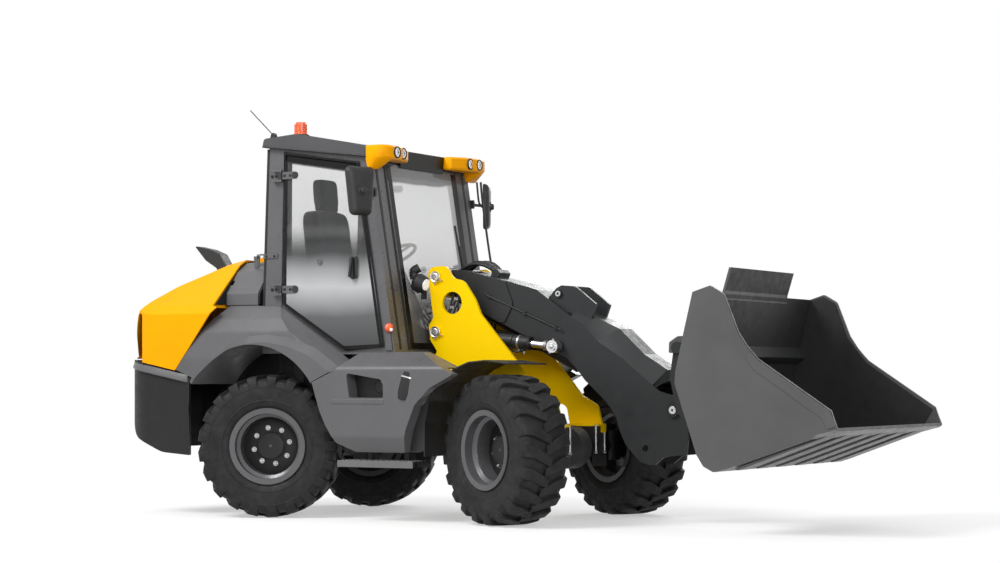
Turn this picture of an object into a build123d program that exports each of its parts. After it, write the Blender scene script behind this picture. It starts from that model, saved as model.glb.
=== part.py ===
"""All-wheel-steer compact wheel loader, in millimetres.

Every size is measured in the axles' frame: x forward from the middle of the wheelbase, y to the
driver's left, z up from the ground.  write() moves each finished piece so that the part's origin
lies on the ground under the middle of its box.
"""

from build123d import *
from math import atan2, cos, degrees, hypot, radians, sin
import os

# ---------------------------------------------------------------- driving dimensions
wheelbase = 2180
rear_end = -2350          # x of the counterweight's rearmost face
bucket_edge = 3625        # x of the bucket's cutting edge
body_half = 1000          # half width over the side panels
cab_half = 712            # half width over the cab's pillars
running_gap = 5           # clearance of moving panels
seat_gap = 0.3            # clearance of pieces that sit on one another
pin_gap = 0.3             # radial clearance of a pin in its bore

# wheels: tyre size 405/70 R20
tyre_radius = 537.5
tyre_width = 405
rim_flange_radius = 290
bead_radius = 256
kingpin_y = 656
wheel_offset = 169        # from the kingpin out to the tyre's middle plane
front_steer = -25         # parked steering angles, degrees
rear_steer = 25
axle_z = tyre_radius

# boom pivots (x, z)
pivot = (143, 1807)       # boom on the tower
lift_base = (143, 1394)   # lift cylinders on the tower
lift_eye = (1100, 1280)   # lift cylinder rods on the boom
hitch_pivot = (2034, 820) # hitch on the boom
lever = (-21, -123)       # from the boom's pivots to the tilt cylinder's pins, at both ends

boom_half = 165
tower_inner = 300
tower_plate = 25
boom_plate = 18
pivot_pin_radius = 35
cylinder_pin_radius = 25
panel = 12                # moulded body panels
glass = 8

box_middle = (rear_end + bucket_edge) / 2
tower_outer = tower_inner + tower_plate
front_axle_x = wheelbase / 2
sweep_radius = hypot(tyre_radius, wheel_offset + tyre_width / 2)
arch_radius = sweep_radius + 14


# ---------------------------------------------------------------- helpers
def write(piece, name, at=Location((0, 0, 0))):
    """Place a finished piece, label it and write it as one STEP file."""
    placed = piece.moved(Location((-box_middle, 0, 0)) * at)
    placed.label = name
    export_step(placed, f"parts/{name}.step")


def outline(corners, move=(0, 0)):
    """Closed outline through rows of (x, z, corner radius), all shifted by `move`."""
    with BuildLine() as edge:
        FilletPolyline([shifted(row, move) for row in corners], radius=[row[2] for row in corners], close=True)
    make_face(edge.edges())


def shifted(point, move):
    return (point[0] + move[0], point[1] + move[1])


def upright(corners, left, right, mode=Mode.ADD):
    """Plate along the machine between y = left and y = right, from rows of (x, z, corner radius)."""
    with BuildSketch(Plane.XZ.offset(-left)) as profile:
        outline(corners)
    extrude(profile.sketch, amount=left - right, mode=mode)


def both_sides(corners, outer, inner, mode=Mode.ADD):
    """The same upright plate on the left and on the right of the machine."""
    upright(corners, outer, inner, mode)
    upright(corners, -inner, -outer, mode)


def block(x, y, z, mode=Mode.ADD):
    """Box between the pairs x, y and z of its limits."""
    with BuildSketch(Plane.XY.offset(z[0])) as profile:
        with Locations(((x[0] + x[1]) / 2, (y[0] + y[1]) / 2)):
            Rectangle(x[1] - x[0], y[1] - y[0])
    extrude(profile.sketch, amount=z[1] - z[0], mode=mode)


def cross_bar(centre, radius, left, right, mode=Mode.ADD):
    """Round bar across the machine, from y = left to y = right."""
    with BuildSketch(Plane.XZ.offset(-left)) as profile:
        with Locations(centre):
            Circle(radius)
    extrude(profile.sketch, amount=left - right, mode=mode)


def upright_bar(centre, radius, low, high, mode=Mode.ADD):
    """Round bar standing on (x, y), from z = low to z = high."""
    with BuildSketch(Plane.XY.offset(low)) as profile:
        with Locations(centre):
            Circle(radius)
    extrude(profile.sketch, amount=high - low, mode=mode)


def lengthwise(corners, low, high, mode=Mode.ADD):
    """Bar along the machine from x = low to x = high, from rows of (y, z, corner radius)."""
    with BuildSketch(Plane.YZ.offset(low)) as profile:
        outline(corners)
    extrude(profile.sketch, amount=high - low, mode=mode)


def layer(corners, low, high, mode=Mode.ADD):
    """Level plate from z = low to z = high, from rows of (x, y, corner radius)."""
    with BuildSketch(Plane.XY.offset(low)) as profile:
        outline(corners)
    extrude(profile.sketch, amount=high - low, mode=mode)


def two_sided(corners):
    """Rows for the left half of a section, joined to their reflection on the right."""
    return tuple(corners) + tuple((-y, z, radius) for y, z, radius in reversed(corners))


def on_side(side, outer, inner):
    """The limits (left, right) of a piece that lies between inner and outer on one side."""
    return (outer, inner) if side > 0 else (-inner, -outer)


def reach(side, outer, inner):
    """The same limits, lowest first."""
    return (inner, outer) if side > 0 else (-outer, -inner)


os.makedirs("parts", exist_ok=True)

# ---------------------------------------------------------------- wheels, in the kingpin's frame
# y runs outboard from the kingpin at axle height; mirrored for the right-hand side
tyre_half = tyre_width / 2
tread_radius = tyre_radius
rim_half = 186
disc_face = wheel_offset - 12      # outer face of the wheel disc
disc_plate = 16
hub_radius = 104
hub_length = 60
wheel_stud_circle = 275 / 2
spindle_radius = 60
knuckle_radius = 90
knuckle_half = 112

# y from the tyre's middle plane, radius, corner radius
tyre_rows = (
    (40 - tyre_half, tread_radius, 0), (tyre_half - 40, tread_radius, 0), (tyre_half, tread_radius - 28, 0),
    (tyre_half, 430, 60), (rim_half - 12, rim_flange_radius + 2, 0), (rim_half - 12, bead_radius + seat_gap, 0),
    (rim_half - 50, bead_radius + seat_gap, 0), (tyre_half - 34, 420, 40), (tyre_half - 60, tread_radius - 60, 30),
    (60 - tyre_half, tread_radius - 60, 30), (34 - tyre_half, 420, 40), (50 - rim_half, bead_radius + seat_gap, 0),
    (12 - rim_half, bead_radius + seat_gap, 0), (12 - rim_half, rim_flange_radius + 2, 0), (-tyre_half, 430, 60),
    (-tyre_half, tread_radius - 28, 0),
)
barrel_rows = (
    (-rim_half - 2, 286, 0), (8 - rim_half, 286, 0), (12 - rim_half, bead_radius, 0), (-110, bead_radius, 6),
    (-92, 228, 6), (92, 228, 6), (110, bead_radius, 6), (rim_half - 12, bead_radius, 0), (rim_half - 8, 286, 0),
    (rim_half + 2, 286, 0), (rim_half - 2, bead_radius - 10, 0), (116, bead_radius - 10, 6), (98, 218, 6),
    (-98, 218, 6), (-116, bead_radius - 10, 6), (2 - rim_half, bead_radius - 10, 0),
)
hub_end = disc_face + hub_length
hub_face = disc_face - 36
hub_bore = spindle_radius + pin_gap
# y from the kingpin, radius, corner radius
disc_rows = (
    (hub_face, hub_bore, 0), (hub_face, 165, 0), (disc_face - disc_plate, 165, 0), (disc_face - disc_plate, 222, 0),
    (disc_face, 222, 0), (disc_face, hub_radius, 0), (hub_end, hub_radius - 8, 0), (hub_end, 0, 0),
    (hub_end - 16, 0, 0), (hub_end - 16, hub_bore, 0),
)

with BuildPart() as tyre:
    with BuildSketch(Plane.YZ) as section:
        outline(tyre_rows, (wheel_offset, 0))
    revolve(section.sketch, axis=Axis.Y)

with BuildPart() as rim:
    with BuildSketch(Plane.YZ) as section:
        outline(barrel_rows, (wheel_offset, 0))
        outline(disc_rows)
    revolve(section.sketch, axis=Axis.Y)

steering_arm_rows = ((0, 60, 0), (0, -45, 0), (-120, -52, 60), (-190, -74, 26), (-215, -40, 20), (-190, -10, 18))
with BuildPart() as knuckle:
    upright_bar((0, 0), knuckle_radius, -knuckle_half, knuckle_half)
    upright_bar((0, 0), 28, -162, 162)
    cross_bar((0, 0), 100, hub_face - running_gap, 0)
    cross_bar((0, 0), spindle_radius, hub_end - 16 - running_gap, 0)
    with BuildSketch(Plane.XY.offset(-92)) as arm:
        outline(steering_arm_rows)
    extrude(arm.sketch, amount=30)
    with Locations((-185, -45, -62)):
        Hole(11)

# name, x of the axle, side (+1 left), parked steering angle, mirrored fore and aft
corners = (
    ("front_left", front_axle_x, 1, front_steer, False),
    ("front_right", front_axle_x, -1, front_steer, False),
    ("rear_left", -front_axle_x, 1, rear_steer, True),
    ("rear_right", -front_axle_x, -1, rear_steer, True),
)
for corner, axle_x, side, steer, turned in corners:
    place = Location((axle_x, side * kingpin_y, axle_z), (0, 0, steer))
    for kind, piece in (("tyre", tyre.part), ("rim", rim.part), ("knuckle", knuckle.part)):
        if side < 0:
            piece = piece.mirror(Plane.XZ)
        if turned and kind == "knuckle":
            piece = piece.mirror(Plane.YZ)
        write(piece, f"{kind}_{corner}", place)

# ---------------------------------------------------------------- axles
yoke_web = 112
pad_half = 120
foot_z = 705
# y, radius, corner radius
housing_rows = (
    (yoke_web - kingpin_y, 0, 0), (yoke_web - kingpin_y, 78, 0), (-240, 78, 0), (-150, 120, 0), (-80, 160, 0),
    (80, 160, 0), (150, 120, 0), (240, 78, 0), (kingpin_y - yoke_web, 78, 0), (kingpin_y - yoke_web, 0, 0),
)
for name, axle_x, pad_top in (("front_axle", front_axle_x, foot_z - 15 - seat_gap),
                              ("rear_axle", -front_axle_x, 745 - seat_gap)):
    inward = -1 if axle_x > 0 else 1
    with BuildPart() as axle:
        with BuildSketch(Plane.YZ.offset(axle_x)) as housing:
            outline(housing_rows, (0, axle_z))
        revolve(housing.sketch, axis=Axis((axle_x, 0, axle_z), (0, 1, 0)))
        with BuildSketch(Plane.YZ.offset(axle_x)) as input_housing:
            with Locations((0, axle_z)):
                Circle(95)
        extrude(input_housing.sketch, amount=inward * 250)
        for side in (-1, 1):
            y = side * kingpin_y
            ends = reach(side, kingpin_y - yoke_web, kingpin_y - yoke_web - 40)
            block((axle_x - 60, axle_x + 60), ends, (axle_z - 160, axle_z + 160))
            for low in (axle_z - 160, axle_z + 117):
                block((axle_x - 60, axle_x + 60), reach(side, kingpin_y, kingpin_y - yoke_web), (low, low + 43))
                upright_bar((axle_x, y), 60, low, low + 43)
                upright_bar((axle_x, y), 28 + pin_gap, low, low + 43, Mode.SUBTRACT)
            block((axle_x - pad_half, axle_x + pad_half), reach(side, 335, 215), (axle_z - 70, pad_top))
    write(axle.part, name)

# ---------------------------------------------------------------- front frame: yellow tower
# x, z, corner radius
tower_rows = (
    (65, 1880, 60), (232, 1888, 55), (290, 1795, 60), (385, 1772, 90), (484, 1630, 160), (530, 1522, 60),
    (834, 1174, 30), (1046, 921, 60), (1180, 845, 40), (1216, foot_z, 0), (944, foot_z, 0), (915, 850, 60),
    (700, 860, 60), (560, 640, 60), (150, 600, 0), (150, 1150, 0), (112, 1181, 10), (152, 1250, 20),
    (92, 1335, 30), (78, 1440, 40), (118, 1500, 40),
)
ear_rows = ((180, 1230, 0), (180, 1440, 34), (105, 1440, 34), (105, 1350, 30), (160, 1270, 0))
window = (283, 1610)
window_radius = 84
frame_join = 150
frame_low = 600
with BuildPart() as front_frame:
    both_sides(tower_rows, tower_outer, tower_inner)
    cross_bar(window, window_radius, tower_outer, -tower_outer, Mode.SUBTRACT)
    block((frame_join + 10, frame_join + 30), (-tower_inner, tower_inner), (frame_low + 20, 1270))
    block((600, 622), (-tower_inner, tower_inner), (730, 1000))
    for side in (-1, 1):
        block((925, 1225), reach(side, 345, 215), (foot_z - 15, foot_z))
        upright(ear_rows, *on_side(side, 184, 172))
        cross_bar(lift_base, cylinder_pin_radius, *on_side(side, 345, 172))
        cross_bar(pivot, pivot_pin_radius, *on_side(side, 345, 80))
        for centre in (pivot, lift_base):
            cross_bar(centre, 46, *on_side(side, tower_outer + 12, tower_outer))
    cross_bar(shifted(pivot, lever), 22, tower_inner, -tower_inner)
write(front_frame.part, "front_frame")

# ---------------------------------------------------------------- rear frame: rails under cab and engine
rail_inner = 300
engine_low = 960
step_low = 507                   # underside of the step panels
rail_outer = 325
rail_rows = (
    (frame_join, frame_low, 0), (frame_join, 880, 0), (-560, 880, 60), (-760, 960, 60), (-1420, 960, 60),
    (-1560, 900, 60), (-2020, 900, 0), (-2020, 640, 0), (-1500, 640, 60), (-1400, 745, 60), (-780, 745, 60),
    (-640, 600, 60),
)
floor_z = 1235
with BuildPart() as rear_frame:
    both_sides(rail_rows, rail_outer, rail_inner)
    for x0, z0, z1 in ((frame_join - 30, 620, 860), (-620, 640, 860), (-1460, 760, 900), (-2010, 660, 880)):
        block((x0 - 20, x0), (-rail_inner, rail_inner), (z0, z1))
    for x0 in (60, -700, -1060):
        for side in (-1, 1):
            block((x0 - 40, x0 + 40), reach(side, rail_outer + 60, rail_inner), (850, floor_z - seat_gap))
    for x0 in (-860, -1320):
        block((x0 - 40, x0 + 40), (-rail_inner, rail_inner), (765, 785))
    for x0, z0 in ((-1450, 870), (-1880, 860)):
        block((x0 - 20, x0 + 20), (-rail_inner, rail_inner), (z0, engine_low))
    for x0 in (-130, 120):
        block((x0 - 20, x0 + 20), (-850, 850), (step_low + panel + seat_gap, 625))
write(rear_frame.part, "rear_frame")

# ---------------------------------------------------------------- engine, counterweight and hood
with BuildPart() as engine_block:
    block((-1960, -1330), (-270, 270), (engine_low + seat_gap, 1520))
write(engine_block.part, "engine_block")

tail_half = 960
tail_corner = 260
# x, z, corner radius
counterweight_rows = (
    (-2350, 1130, 30), (-2315, 1195, 30), (-1815, 1098, 0), (-1668, 1045, 20), (-1692, 800, 200),
    (-1645, 455, 15), (-1950, 478, 250), (-2235, 600, 200), (-2335, 790, 100), (rear_end, 900, 0),
)
tail_plan = ((rear_end, tail_half, tail_corner), (-1500, tail_half, 0), (-1500, -tail_half, 0),
             (rear_end, -tail_half, tail_corner))
tow_x = -2285
with BuildPart() as counterweight:
    upright(counterweight_rows, 1000, -1000)
    layer(tail_plan, 400, 1300, Mode.INTERSECT)
    block((-2030, -1500), (-900, 900), (400, 1300), Mode.SUBTRACT)
    for side in (-1, 1):
        upright_bar((-front_axle_x, side * kingpin_y), arch_radius, 400, 1010, Mode.SUBTRACT)
    block((rear_end - 10, rear_end + 22), (-1000, 1000), (925, 985), Mode.SUBTRACT)
    block((rear_end - 10, -2235), (-70, 70), (800, 875), Mode.SUBTRACT)
    upright_bar((tow_x, 0), 16, 560, 920, Mode.SUBTRACT)
write(counterweight.part, "counterweight")

hood_front = -1500
hood_rows = (
    (-2322, 1205, 0), (-2305, 1340, 250), (-2218, 1535, 80), (-2130, 1640, 150), (-1960, 1762, 250),
    (-1560, 1950, 100), (hood_front, 1968, 0), (hood_front, 1600, 0), (-1457, 1590, 0), (-1826, 1108, 0),
)
hood_opening_rows = (
    (-2290, 1190, 0), (-2290, 1222, 0), (-1845, 1132, 0), (-1495, 1588, 0), (-1520, 1620, 0), (-1520, 1950, 0),
    (-1480, 1950, 0), (-1430, 1590, 0), (-1820, 1090, 0),
)
hood_section = two_sided((
    (955, 1000, 0), (955, 1545, 30), (905, 1605, 30), (560, 1925, 80), (460, 1975, 0)))
hood_arm_rows = ((-1640, 1890, 0), (-1640, 1925, 10), (-1500, 1982, 20), (-1420, 2012, 20), (-1262, 2012, 20),
                 (-1262, 1968, 18), (-1440, 1960, 20), (-1494, 1952, 0), (-1520, 1900, 0))
hood_plan = ((-2322, 955, 245), (-1400, 955, 0), (-1400, -955, 0), (-2322, -955, 245))
with BuildPart() as hood_inside:
    with BuildSketch(Plane.XZ.offset(-1000)) as side_hollow:
        outline(hood_rows)
        offset(amount=-panel, kind=Kind.INTERSECTION)
        outline(hood_opening_rows)
    with BuildSketch(Plane.YZ.offset(-2400)) as rear_hollow:
        outline(hood_section)
        offset(amount=-panel, kind=Kind.INTERSECTION)
    with BuildSketch(Plane.XY.offset(1000)) as plan_hollow:
        outline(hood_plan)
        offset(amount=-panel, kind=Kind.INTERSECTION)
    extrude(side_hollow.sketch, amount=2000)
    extrude(rear_hollow.sketch, amount=1200, mode=Mode.INTERSECT)
    extrude(plan_hollow.sketch, amount=1200, mode=Mode.INTERSECT)

hinge_axis = (-1290, 1990)       # hood hinge
with BuildPart() as engine_hood:
    upright(hood_rows, 1000, -1000)
    lengthwise(hood_section, -2400, -1200, Mode.INTERSECT)
    layer(hood_plan, 1000, 2200, Mode.INTERSECT)
    add(hood_inside.part, mode=Mode.SUBTRACT)
    both_sides(hood_arm_rows, 306, 294)
    cross_bar(hinge_axis, 8 + pin_gap, 400, -400, Mode.SUBTRACT)
write(engine_hood.part, "engine_hood")

# ---------------------------------------------------------------- exhaust tail pipe on the hood
fender_top = 1600
exhaust_rows = (
    (-2214, 2112, 6), (-2062, 2080, 60), (-1961, 2040, 40), (-1895, 1935, 40), (-1893, 1700, 0), (-1975, 1700, 0),
    (-1990, 1925, 30), (-2103, 1992, 60),
)
with BuildPart() as exhaust:
    upright(exhaust_rows, -100, -200)
    with BuildSketch(Plane.XZ.offset(-1000)) as hood_top:
        outline(hood_rows)
        offset(amount=seat_gap, kind=Kind.INTERSECTION)
    extrude(hood_top.sketch, amount=2000, mode=Mode.SUBTRACT)
write(exhaust.part, "exhaust")

# ---------------------------------------------------------------- cowl between hood and cab
cowl_rear = -1488
cowl_front = -1192
cowl_section = two_sided(((750, fender_top + seat_gap, 0), (745, 1700, 40), (600, 1870, 50), (480, 1945, 40)))
with BuildPart() as cowl:
    lengthwise(cowl_section, cowl_rear, cowl_front)
    with BuildSketch(Plane.YZ.offset(cowl_rear + panel)) as cowl_inside:
        outline(cowl_section)
        offset(amount=-panel, kind=Kind.INTERSECTION)
        with Locations((0, 1650)):
            Rectangle(2 * 735, 120)
    extrude(cowl_inside.sketch, amount=400, mode=Mode.SUBTRACT)
    block((cowl_rear - 5, cowl_rear + 20), (-690, 690), (1600, 1800), Mode.SUBTRACT)
    for side in (-1, 1):
        for outer in (328, 288):
            upright(((-1330, 1930, 0), (-1312, 2012, 20), (-1268, 2012, 20), (-1250, 1930, 0)),
                    *on_side(side, outer, outer - 16))
        cross_bar(hinge_axis, 8, *on_side(side, 328, 272))
write(cowl.part, "cowl")

# ---------------------------------------------------------------- rear fenders
arch_centre = (-1080, 635)
arch = 665
cab_low = 1235
cab_rear = -1172
fender_outer = 960
fender_rows = (
    (-1626, 985, 0), (-1660, 1052, 20), (-1812, 1112, 0), (-1450, fender_top, 10), (-1205, fender_top, 30), (-965, 1590, 60),
    (-418, 1238, 30), (-212, 1238, 0), (-326, 1112, 20), (-528, 1020, 0), (-560, 900, 0), (-1600, 900, 0),
)
flare_rows = (
    (-1790, 985, 0), (-1690, 1062, 60), (-1500, 1190, 100), (-1315, 1314, 150), (-1138, 1365, 150),
    (-963, 1378, 150), (-753, 1347, 150), (-528, 1271, 150), (-352, 1150, 60), (-180, 1000, 0), (-180, 840, 0),
    (-1790, 840, 0),
)
flare_crease = 935
flare_slope = 42                 # of the flare's face, degrees from square
fender_section = ((440, 880, 0), (fender_outer, 880, 0), (fender_outer, 1200, 200), (925, 1400, 100),
                  (870, 1500, 60), (755, fender_top, 0), (440, fender_top, 0))
# section across the sloping shoulder below the door: y, height over the slope's line
shoulder_rows = ((770, 0, 0), (870, -34, 60), (930, -62, 60), (970, -130, 0), (1100, -130, 0), (1100, 200, 0), (770, 200, 0))
shoulder_top = (-965, 1590)
shoulder_foot = (-418, 1238)
shoulder_plane = Plane(origin=(shoulder_top[0], 0, shoulder_top[1]), x_dir=(0, 1, 0),
                       z_dir=(shoulder_foot[0] - shoulder_top[0], 0, shoulder_foot[1] - shoulder_top[1]))
with BuildPart() as shoulder:
    with BuildSketch(shoulder_plane) as shoulder_face:
        outline(shoulder_rows)
    extrude(shoulder_face.sketch, amount=900, both=True)
with BuildPart() as fender_inside:
    with BuildSketch(Plane.XZ.offset(-1100)) as inside_face:
        outline(fender_rows)
        offset(amount=-panel, kind=Kind.INTERSECTION)
        with Locations(arch_centre):
            Circle(arch + panel, mode=Mode.SUBTRACT)
    extrude(inside_face.sketch, amount=700)
    with BuildSketch(Plane.YZ.offset(-2000)) as inside_section:
        outline(fender_section)
        offset(amount=-panel, kind=Kind.INTERSECTION)
        with Locations((450, 1200)):
            Rectangle(100, 900)
    extrude(inside_section.sketch, amount=2000, mode=Mode.INTERSECT)
    add(shoulder.part.moved(Location((0, 0, -1.2 * panel))), mode=Mode.SUBTRACT)
with BuildPart() as flare:
    with BuildSketch(Plane.XZ.offset(-flare_crease)) as crease:
        outline(flare_rows)
    extrude(crease.sketch, amount=flare_crease - body_half, taper=flare_slope)
    upright(fender_rows, 1100, 800, Mode.INTERSECT)
with BuildPart() as fender:
    upright(fender_rows, 1010, 440)
    lengthwise(fender_section, -1900, -100, Mode.INTERSECT)
    add(shoulder.part, mode=Mode.SUBTRACT)
    add(flare.part)
    cross_bar(arch_centre, arch, 1100, 400, Mode.SUBTRACT)
    add(fender_inside.part, mode=Mode.SUBTRACT)
    block((cab_rear - running_gap, 100), (400, cab_half + running_gap), (cab_low - seat_gap, 1700), Mode.SUBTRACT)
write(fender.part, "rear_fender_left")
write(fender.part.mirror(Plane.XZ), "rear_fender_right")

# ---------------------------------------------------------------- step panels, low steps, front mudguards
step_rows = (
    (-522, 1017, 0), (-316, 1108, 20), (-204, 1236, 20), (330, 1240, 60), (600, 1120, 40), (690, 1072, 6),
    (500, 978, 60), (373, 855, 60), (297, 674, 80), (262, step_low, 10), (-156, step_low, 60), (-315, 572, 40),
    (-403, 704, 40), (-456, 814, 60),
)
step_section = ((720, 440, 0), (925, 440, 0), (body_half, 620, 60), (body_half, 1125, 50), (812, 1245, 20),
                (720, 1245, 0))
guard_outer = 900
# room for the front mudguard's sheet inside the panel's front tip
guard_room = ((430, 860, 0), (505, 972, 0), (560, 1005, 0), (720, 1080, 0), (720, 1180, 0), (610, 1140, 0),
              (500, 1040, 0), (415, 900, 0))
recess_rows = ((-218, 1086, 20), (80, 1040, 20), (104, 1000, 10), (104, 905, 10), (-190, 905, 10))
with BuildPart() as step_inside:
    with BuildSketch(Plane.XZ.offset(-1100)) as step_hollow:
        outline(step_rows)
        offset(amount=-panel, kind=Kind.INTERSECTION)
    extrude(step_hollow.sketch, amount=500)
    with BuildSketch(Plane.YZ.offset(-800)) as step_hollow_section:
        outline(step_section)
        offset(amount=-panel, kind=Kind.INTERSECTION)
        with Locations((715, 900)):
            Rectangle(50, 900)
    extrude(step_hollow_section.sketch, amount=2000, mode=Mode.INTERSECT)
    with BuildSketch(Plane.XZ.offset(-1100)) as recess_walls:
        outline(recess_rows)
        offset(amount=panel)
    extrude(recess_walls.sketch, amount=1100 - body_half + 132, mode=Mode.SUBTRACT)
with BuildPart() as step_panel:
    upright(step_rows, 1010, 720)
    lengthwise(step_section, -700, 900, Mode.INTERSECT)
    add(step_inside.part, mode=Mode.SUBTRACT)
    upright(recess_rows, 1100, body_half - 120, Mode.SUBTRACT)
    block((-190, 104), (880, 985), (868, 893))
    upright(guard_room, guard_outer + 6, 700, Mode.SUBTRACT)

with BuildPart() as low_step:
    block((-290, 360), (750, 1000), (432, 445))
    block((-290, 360), (750, 762), (400, 432))
    block((-290, 360), (988, 1000), (400, 432))
    for x0 in (-120, 200):
        block((x0, x0 + 40), (762, 774), (400, 432))
        block((x0, x0 + 40), (762, 860), (445, step_low - seat_gap))

guard_rows = (
    (391, 480, 0), (391, 722, 60), (426, 884, 60), (517, 1025, 60), (638, 1115, 60), (759, 1165, 60),
    (900, 1179, 60), (1090, 1154, 0), (1090, 1146, 0), (900, 1171, 60), (762, 1157, 60), (643, 1108, 60),
    (524, 1018, 60), (434, 879, 60), (399, 719, 60), (399, 480, 0),
)
skirt_rows = (
    (275, 520, 0), (309, 674, 60), (384, 850, 60), (506, 973, 40), (900, 1176, 0), (760, 1161, 40),
    (640, 1111, 60), (520, 1021, 60), (430, 881, 60), (396, 720, 60), (396, 520, 0),
)
with BuildPart() as mudguard:
    upright(guard_rows, guard_outer, tower_outer + seat_gap)
    upright(skirt_rows, guard_outer, guard_outer - 8)

for side, hand in ((1, "left"), (-1, "right")):
    for piece, name in ((step_panel.part, "step_panel"), (low_step.part, "low_step"), (mudguard.part, "mudguard")):
        write(piece if side > 0 else piece.mirror(Plane.XZ), f"{name}_{hand}")

# ---------------------------------------------------------------- cab
cab_front = 25
pillar = 50
roof_front = (-210, 2690)        # top of the windscreen frame
roof_rear = (-1125, 2800)
cab_rows = ((cab_front, cab_low, 0), (*roof_front, 30), (*roof_rear, 30), (cab_rear, 1540, 0),
            (cab_rear, cab_low, 0))
door_rows = ((-956, 2764, 30), (-284, 2664, 30), (-63, 1271, 40), (-418, 1258, 60), (-965, 1596, 40))
screen_top = 2655
screen_low = 1275
rear_glass_top = 2730
rear_glass_low = 1700


def beyond(low, high, z, out):
    """Point (x, z) of a sloping pillar face through low and high, moved `out` forward of that face."""
    run = hypot(high[0] - low[0], high[1] - low[1])
    x = low[0] + (high[0] - low[0]) * (z - low[1]) / (high[1] - low[1])
    return (x + out * (high[1] - low[1]) / run, z - out * (high[0] - low[0]) / run)


def pane_rows(low, high, z0, z1, near, far):
    """Rows of a flat pane that lies between `near` and `far` in front of a sloping face."""
    return tuple((*beyond(low, high, z, out), 0) for z, out in ((z0, near), (z1, near), (z1, far), (z0, far)))


with BuildPart() as cab_inside:
    with BuildSketch(Plane.XZ.offset(pillar - cab_half)) as cab_room:
        outline(cab_rows)
        offset(amount=-pillar, kind=Kind.INTERSECTION)
        with Locations(((cab_rear + cab_front) / 2, cab_low + 30)):
            Rectangle(cab_front - cab_rear - 2 * pillar - 40, 50)
        with Locations((-660, 2720)):
            Rectangle(700, 300)
    extrude(cab_room.sketch, amount=2 * (cab_half - pillar))
    with BuildSketch(Plane.XZ.offset(-1000)) as door_hole:
        outline(door_rows)
        offset(amount=-25, kind=Kind.INTERSECTION)
    extrude(door_hole.sketch, amount=2000)
    block((-400, 100), (-470, 470), (screen_low + 25, screen_top - 25))
    block((-1300, -1000), (-560, 560), (rear_glass_low + 25, rear_glass_top - 25))
hinge_heights = (2582, 1720)
door_hinge = (-985, 745)         # x, y of the door hinges' pins
with BuildPart() as cab_frame:
    upright(cab_rows, cab_half, -cab_half)
    add(cab_inside.part, mode=Mode.SUBTRACT)
    for side in (-1, 1):
        for z in hinge_heights:
            for low in (z - 46, z + 30):
                block((-1060, -985), reach(side, 753, cab_half), (low, low + 16))
                upright_bar((door_hinge[0], side * door_hinge[1]), 15, low, low + 16)
            block((-1060, -1020), reach(side, cab_half + 8, cab_half), (z - 46, z + 46))
            upright_bar((door_hinge[0], side * door_hinge[1]), 8, z - 46, z + 46)
write(cab_frame.part, "cab_frame")

front_face = ((cab_front, cab_low), roof_front)
rear_face_low = (cab_rear, 1540)
with BuildPart() as windscreen:
    upright(pane_rows(*front_face, screen_low, screen_top, seat_gap, seat_gap + glass), 490, -490)
write(windscreen.part, "windscreen")

with BuildPart() as rear_window:
    upright(pane_rows(rear_face_low, roof_rear, rear_glass_low, rear_glass_top, -seat_gap, -seat_gap - glass),
            580, -580)
write(rear_window.part, "rear_window")

roof_half = 748


def roof_base(x, lift=0.0):
    """Height of the cab frame's top line at x, plus `lift`."""
    slope = (roof_rear[1] - roof_front[1]) / (roof_rear[0] - roof_front[0])
    return roof_front[1] + slope * (x - roof_front[0]) + lift


roof_rows = (
    (-1150, roof_base(-1150, seat_gap), 0), (-1135, 2870, 30), (-830, 2893, 200), (-240, 2776, 30),
    (-195, 2752, 10), (-190, roof_base(-190, seat_gap), 0),
)
with BuildPart() as roof_inside:
    with BuildSketch(Plane.XZ.offset(panel - roof_half)) as roof_hollow:
        outline(roof_rows)
        offset(amount=-panel, kind=Kind.INTERSECTION)
    extrude(roof_hollow.sketch, amount=2 * (roof_half - panel))
    block((-1060, -270), (-640, 640), (2600, 2800))
with BuildPart() as cab_roof:
    upright(roof_rows, roof_half, -roof_half)
    add(roof_inside.part, mode=Mode.SUBTRACT)
write(cab_roof.part, "cab_roof")

# ---------------------------------------------------------------- doors
door_near = cab_half + running_gap + 1
door_frame_plate = 12
pane_near = door_near + door_frame_plate + seat_gap
pane_far = pane_near + 6
with BuildPart() as door:
    with BuildSketch(Plane.XZ.offset(-door_near - door_frame_plate)) as band:
        outline(door_rows)
        offset(amount=-4, kind=Kind.INTERSECTION)
        with BuildSketch(Plane.XZ.offset(-door_near - door_frame_plate), mode=Mode.PRIVATE) as band_hole:
            outline(door_rows)
            offset(amount=-44, kind=Kind.INTERSECTION)
        add(band_hole.sketch, mode=Mode.SUBTRACT)
    extrude(band.sketch, amount=door_frame_plate)
with BuildPart() as door_glass:
    with BuildSketch(Plane.XZ.offset(-pane_far)) as pane:
        outline(door_rows)
        offset(amount=-6, kind=Kind.INTERSECTION)
    extrude(pane.sketch, amount=pane_far - pane_near)
fitting_near = pane_far + seat_gap
with BuildPart() as door_fittings:
    for z in hinge_heights:
        block((-985, -850), (fitting_near, fitting_near + 8), (z - 28, z + 28))
        upright_bar(door_hinge, 15, z - 28, z + 28)
        upright_bar(door_hinge, 8 + pin_gap, z - 28, z + 28, Mode.SUBTRACT)
with BuildPart() as door_handle:
    block((-345, -290), (fitting_near, fitting_near + 12), (1790, 1950))
    block((-330, -305), (fitting_near + 12, fitting_near + 40), (1800, 1825))
    block((-330, -305), (fitting_near + 12, fitting_near + 40), (1915, 1940))
    block((-330, -305), (fitting_near + 30, fitting_near + 42), (1800, 1940))
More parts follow.
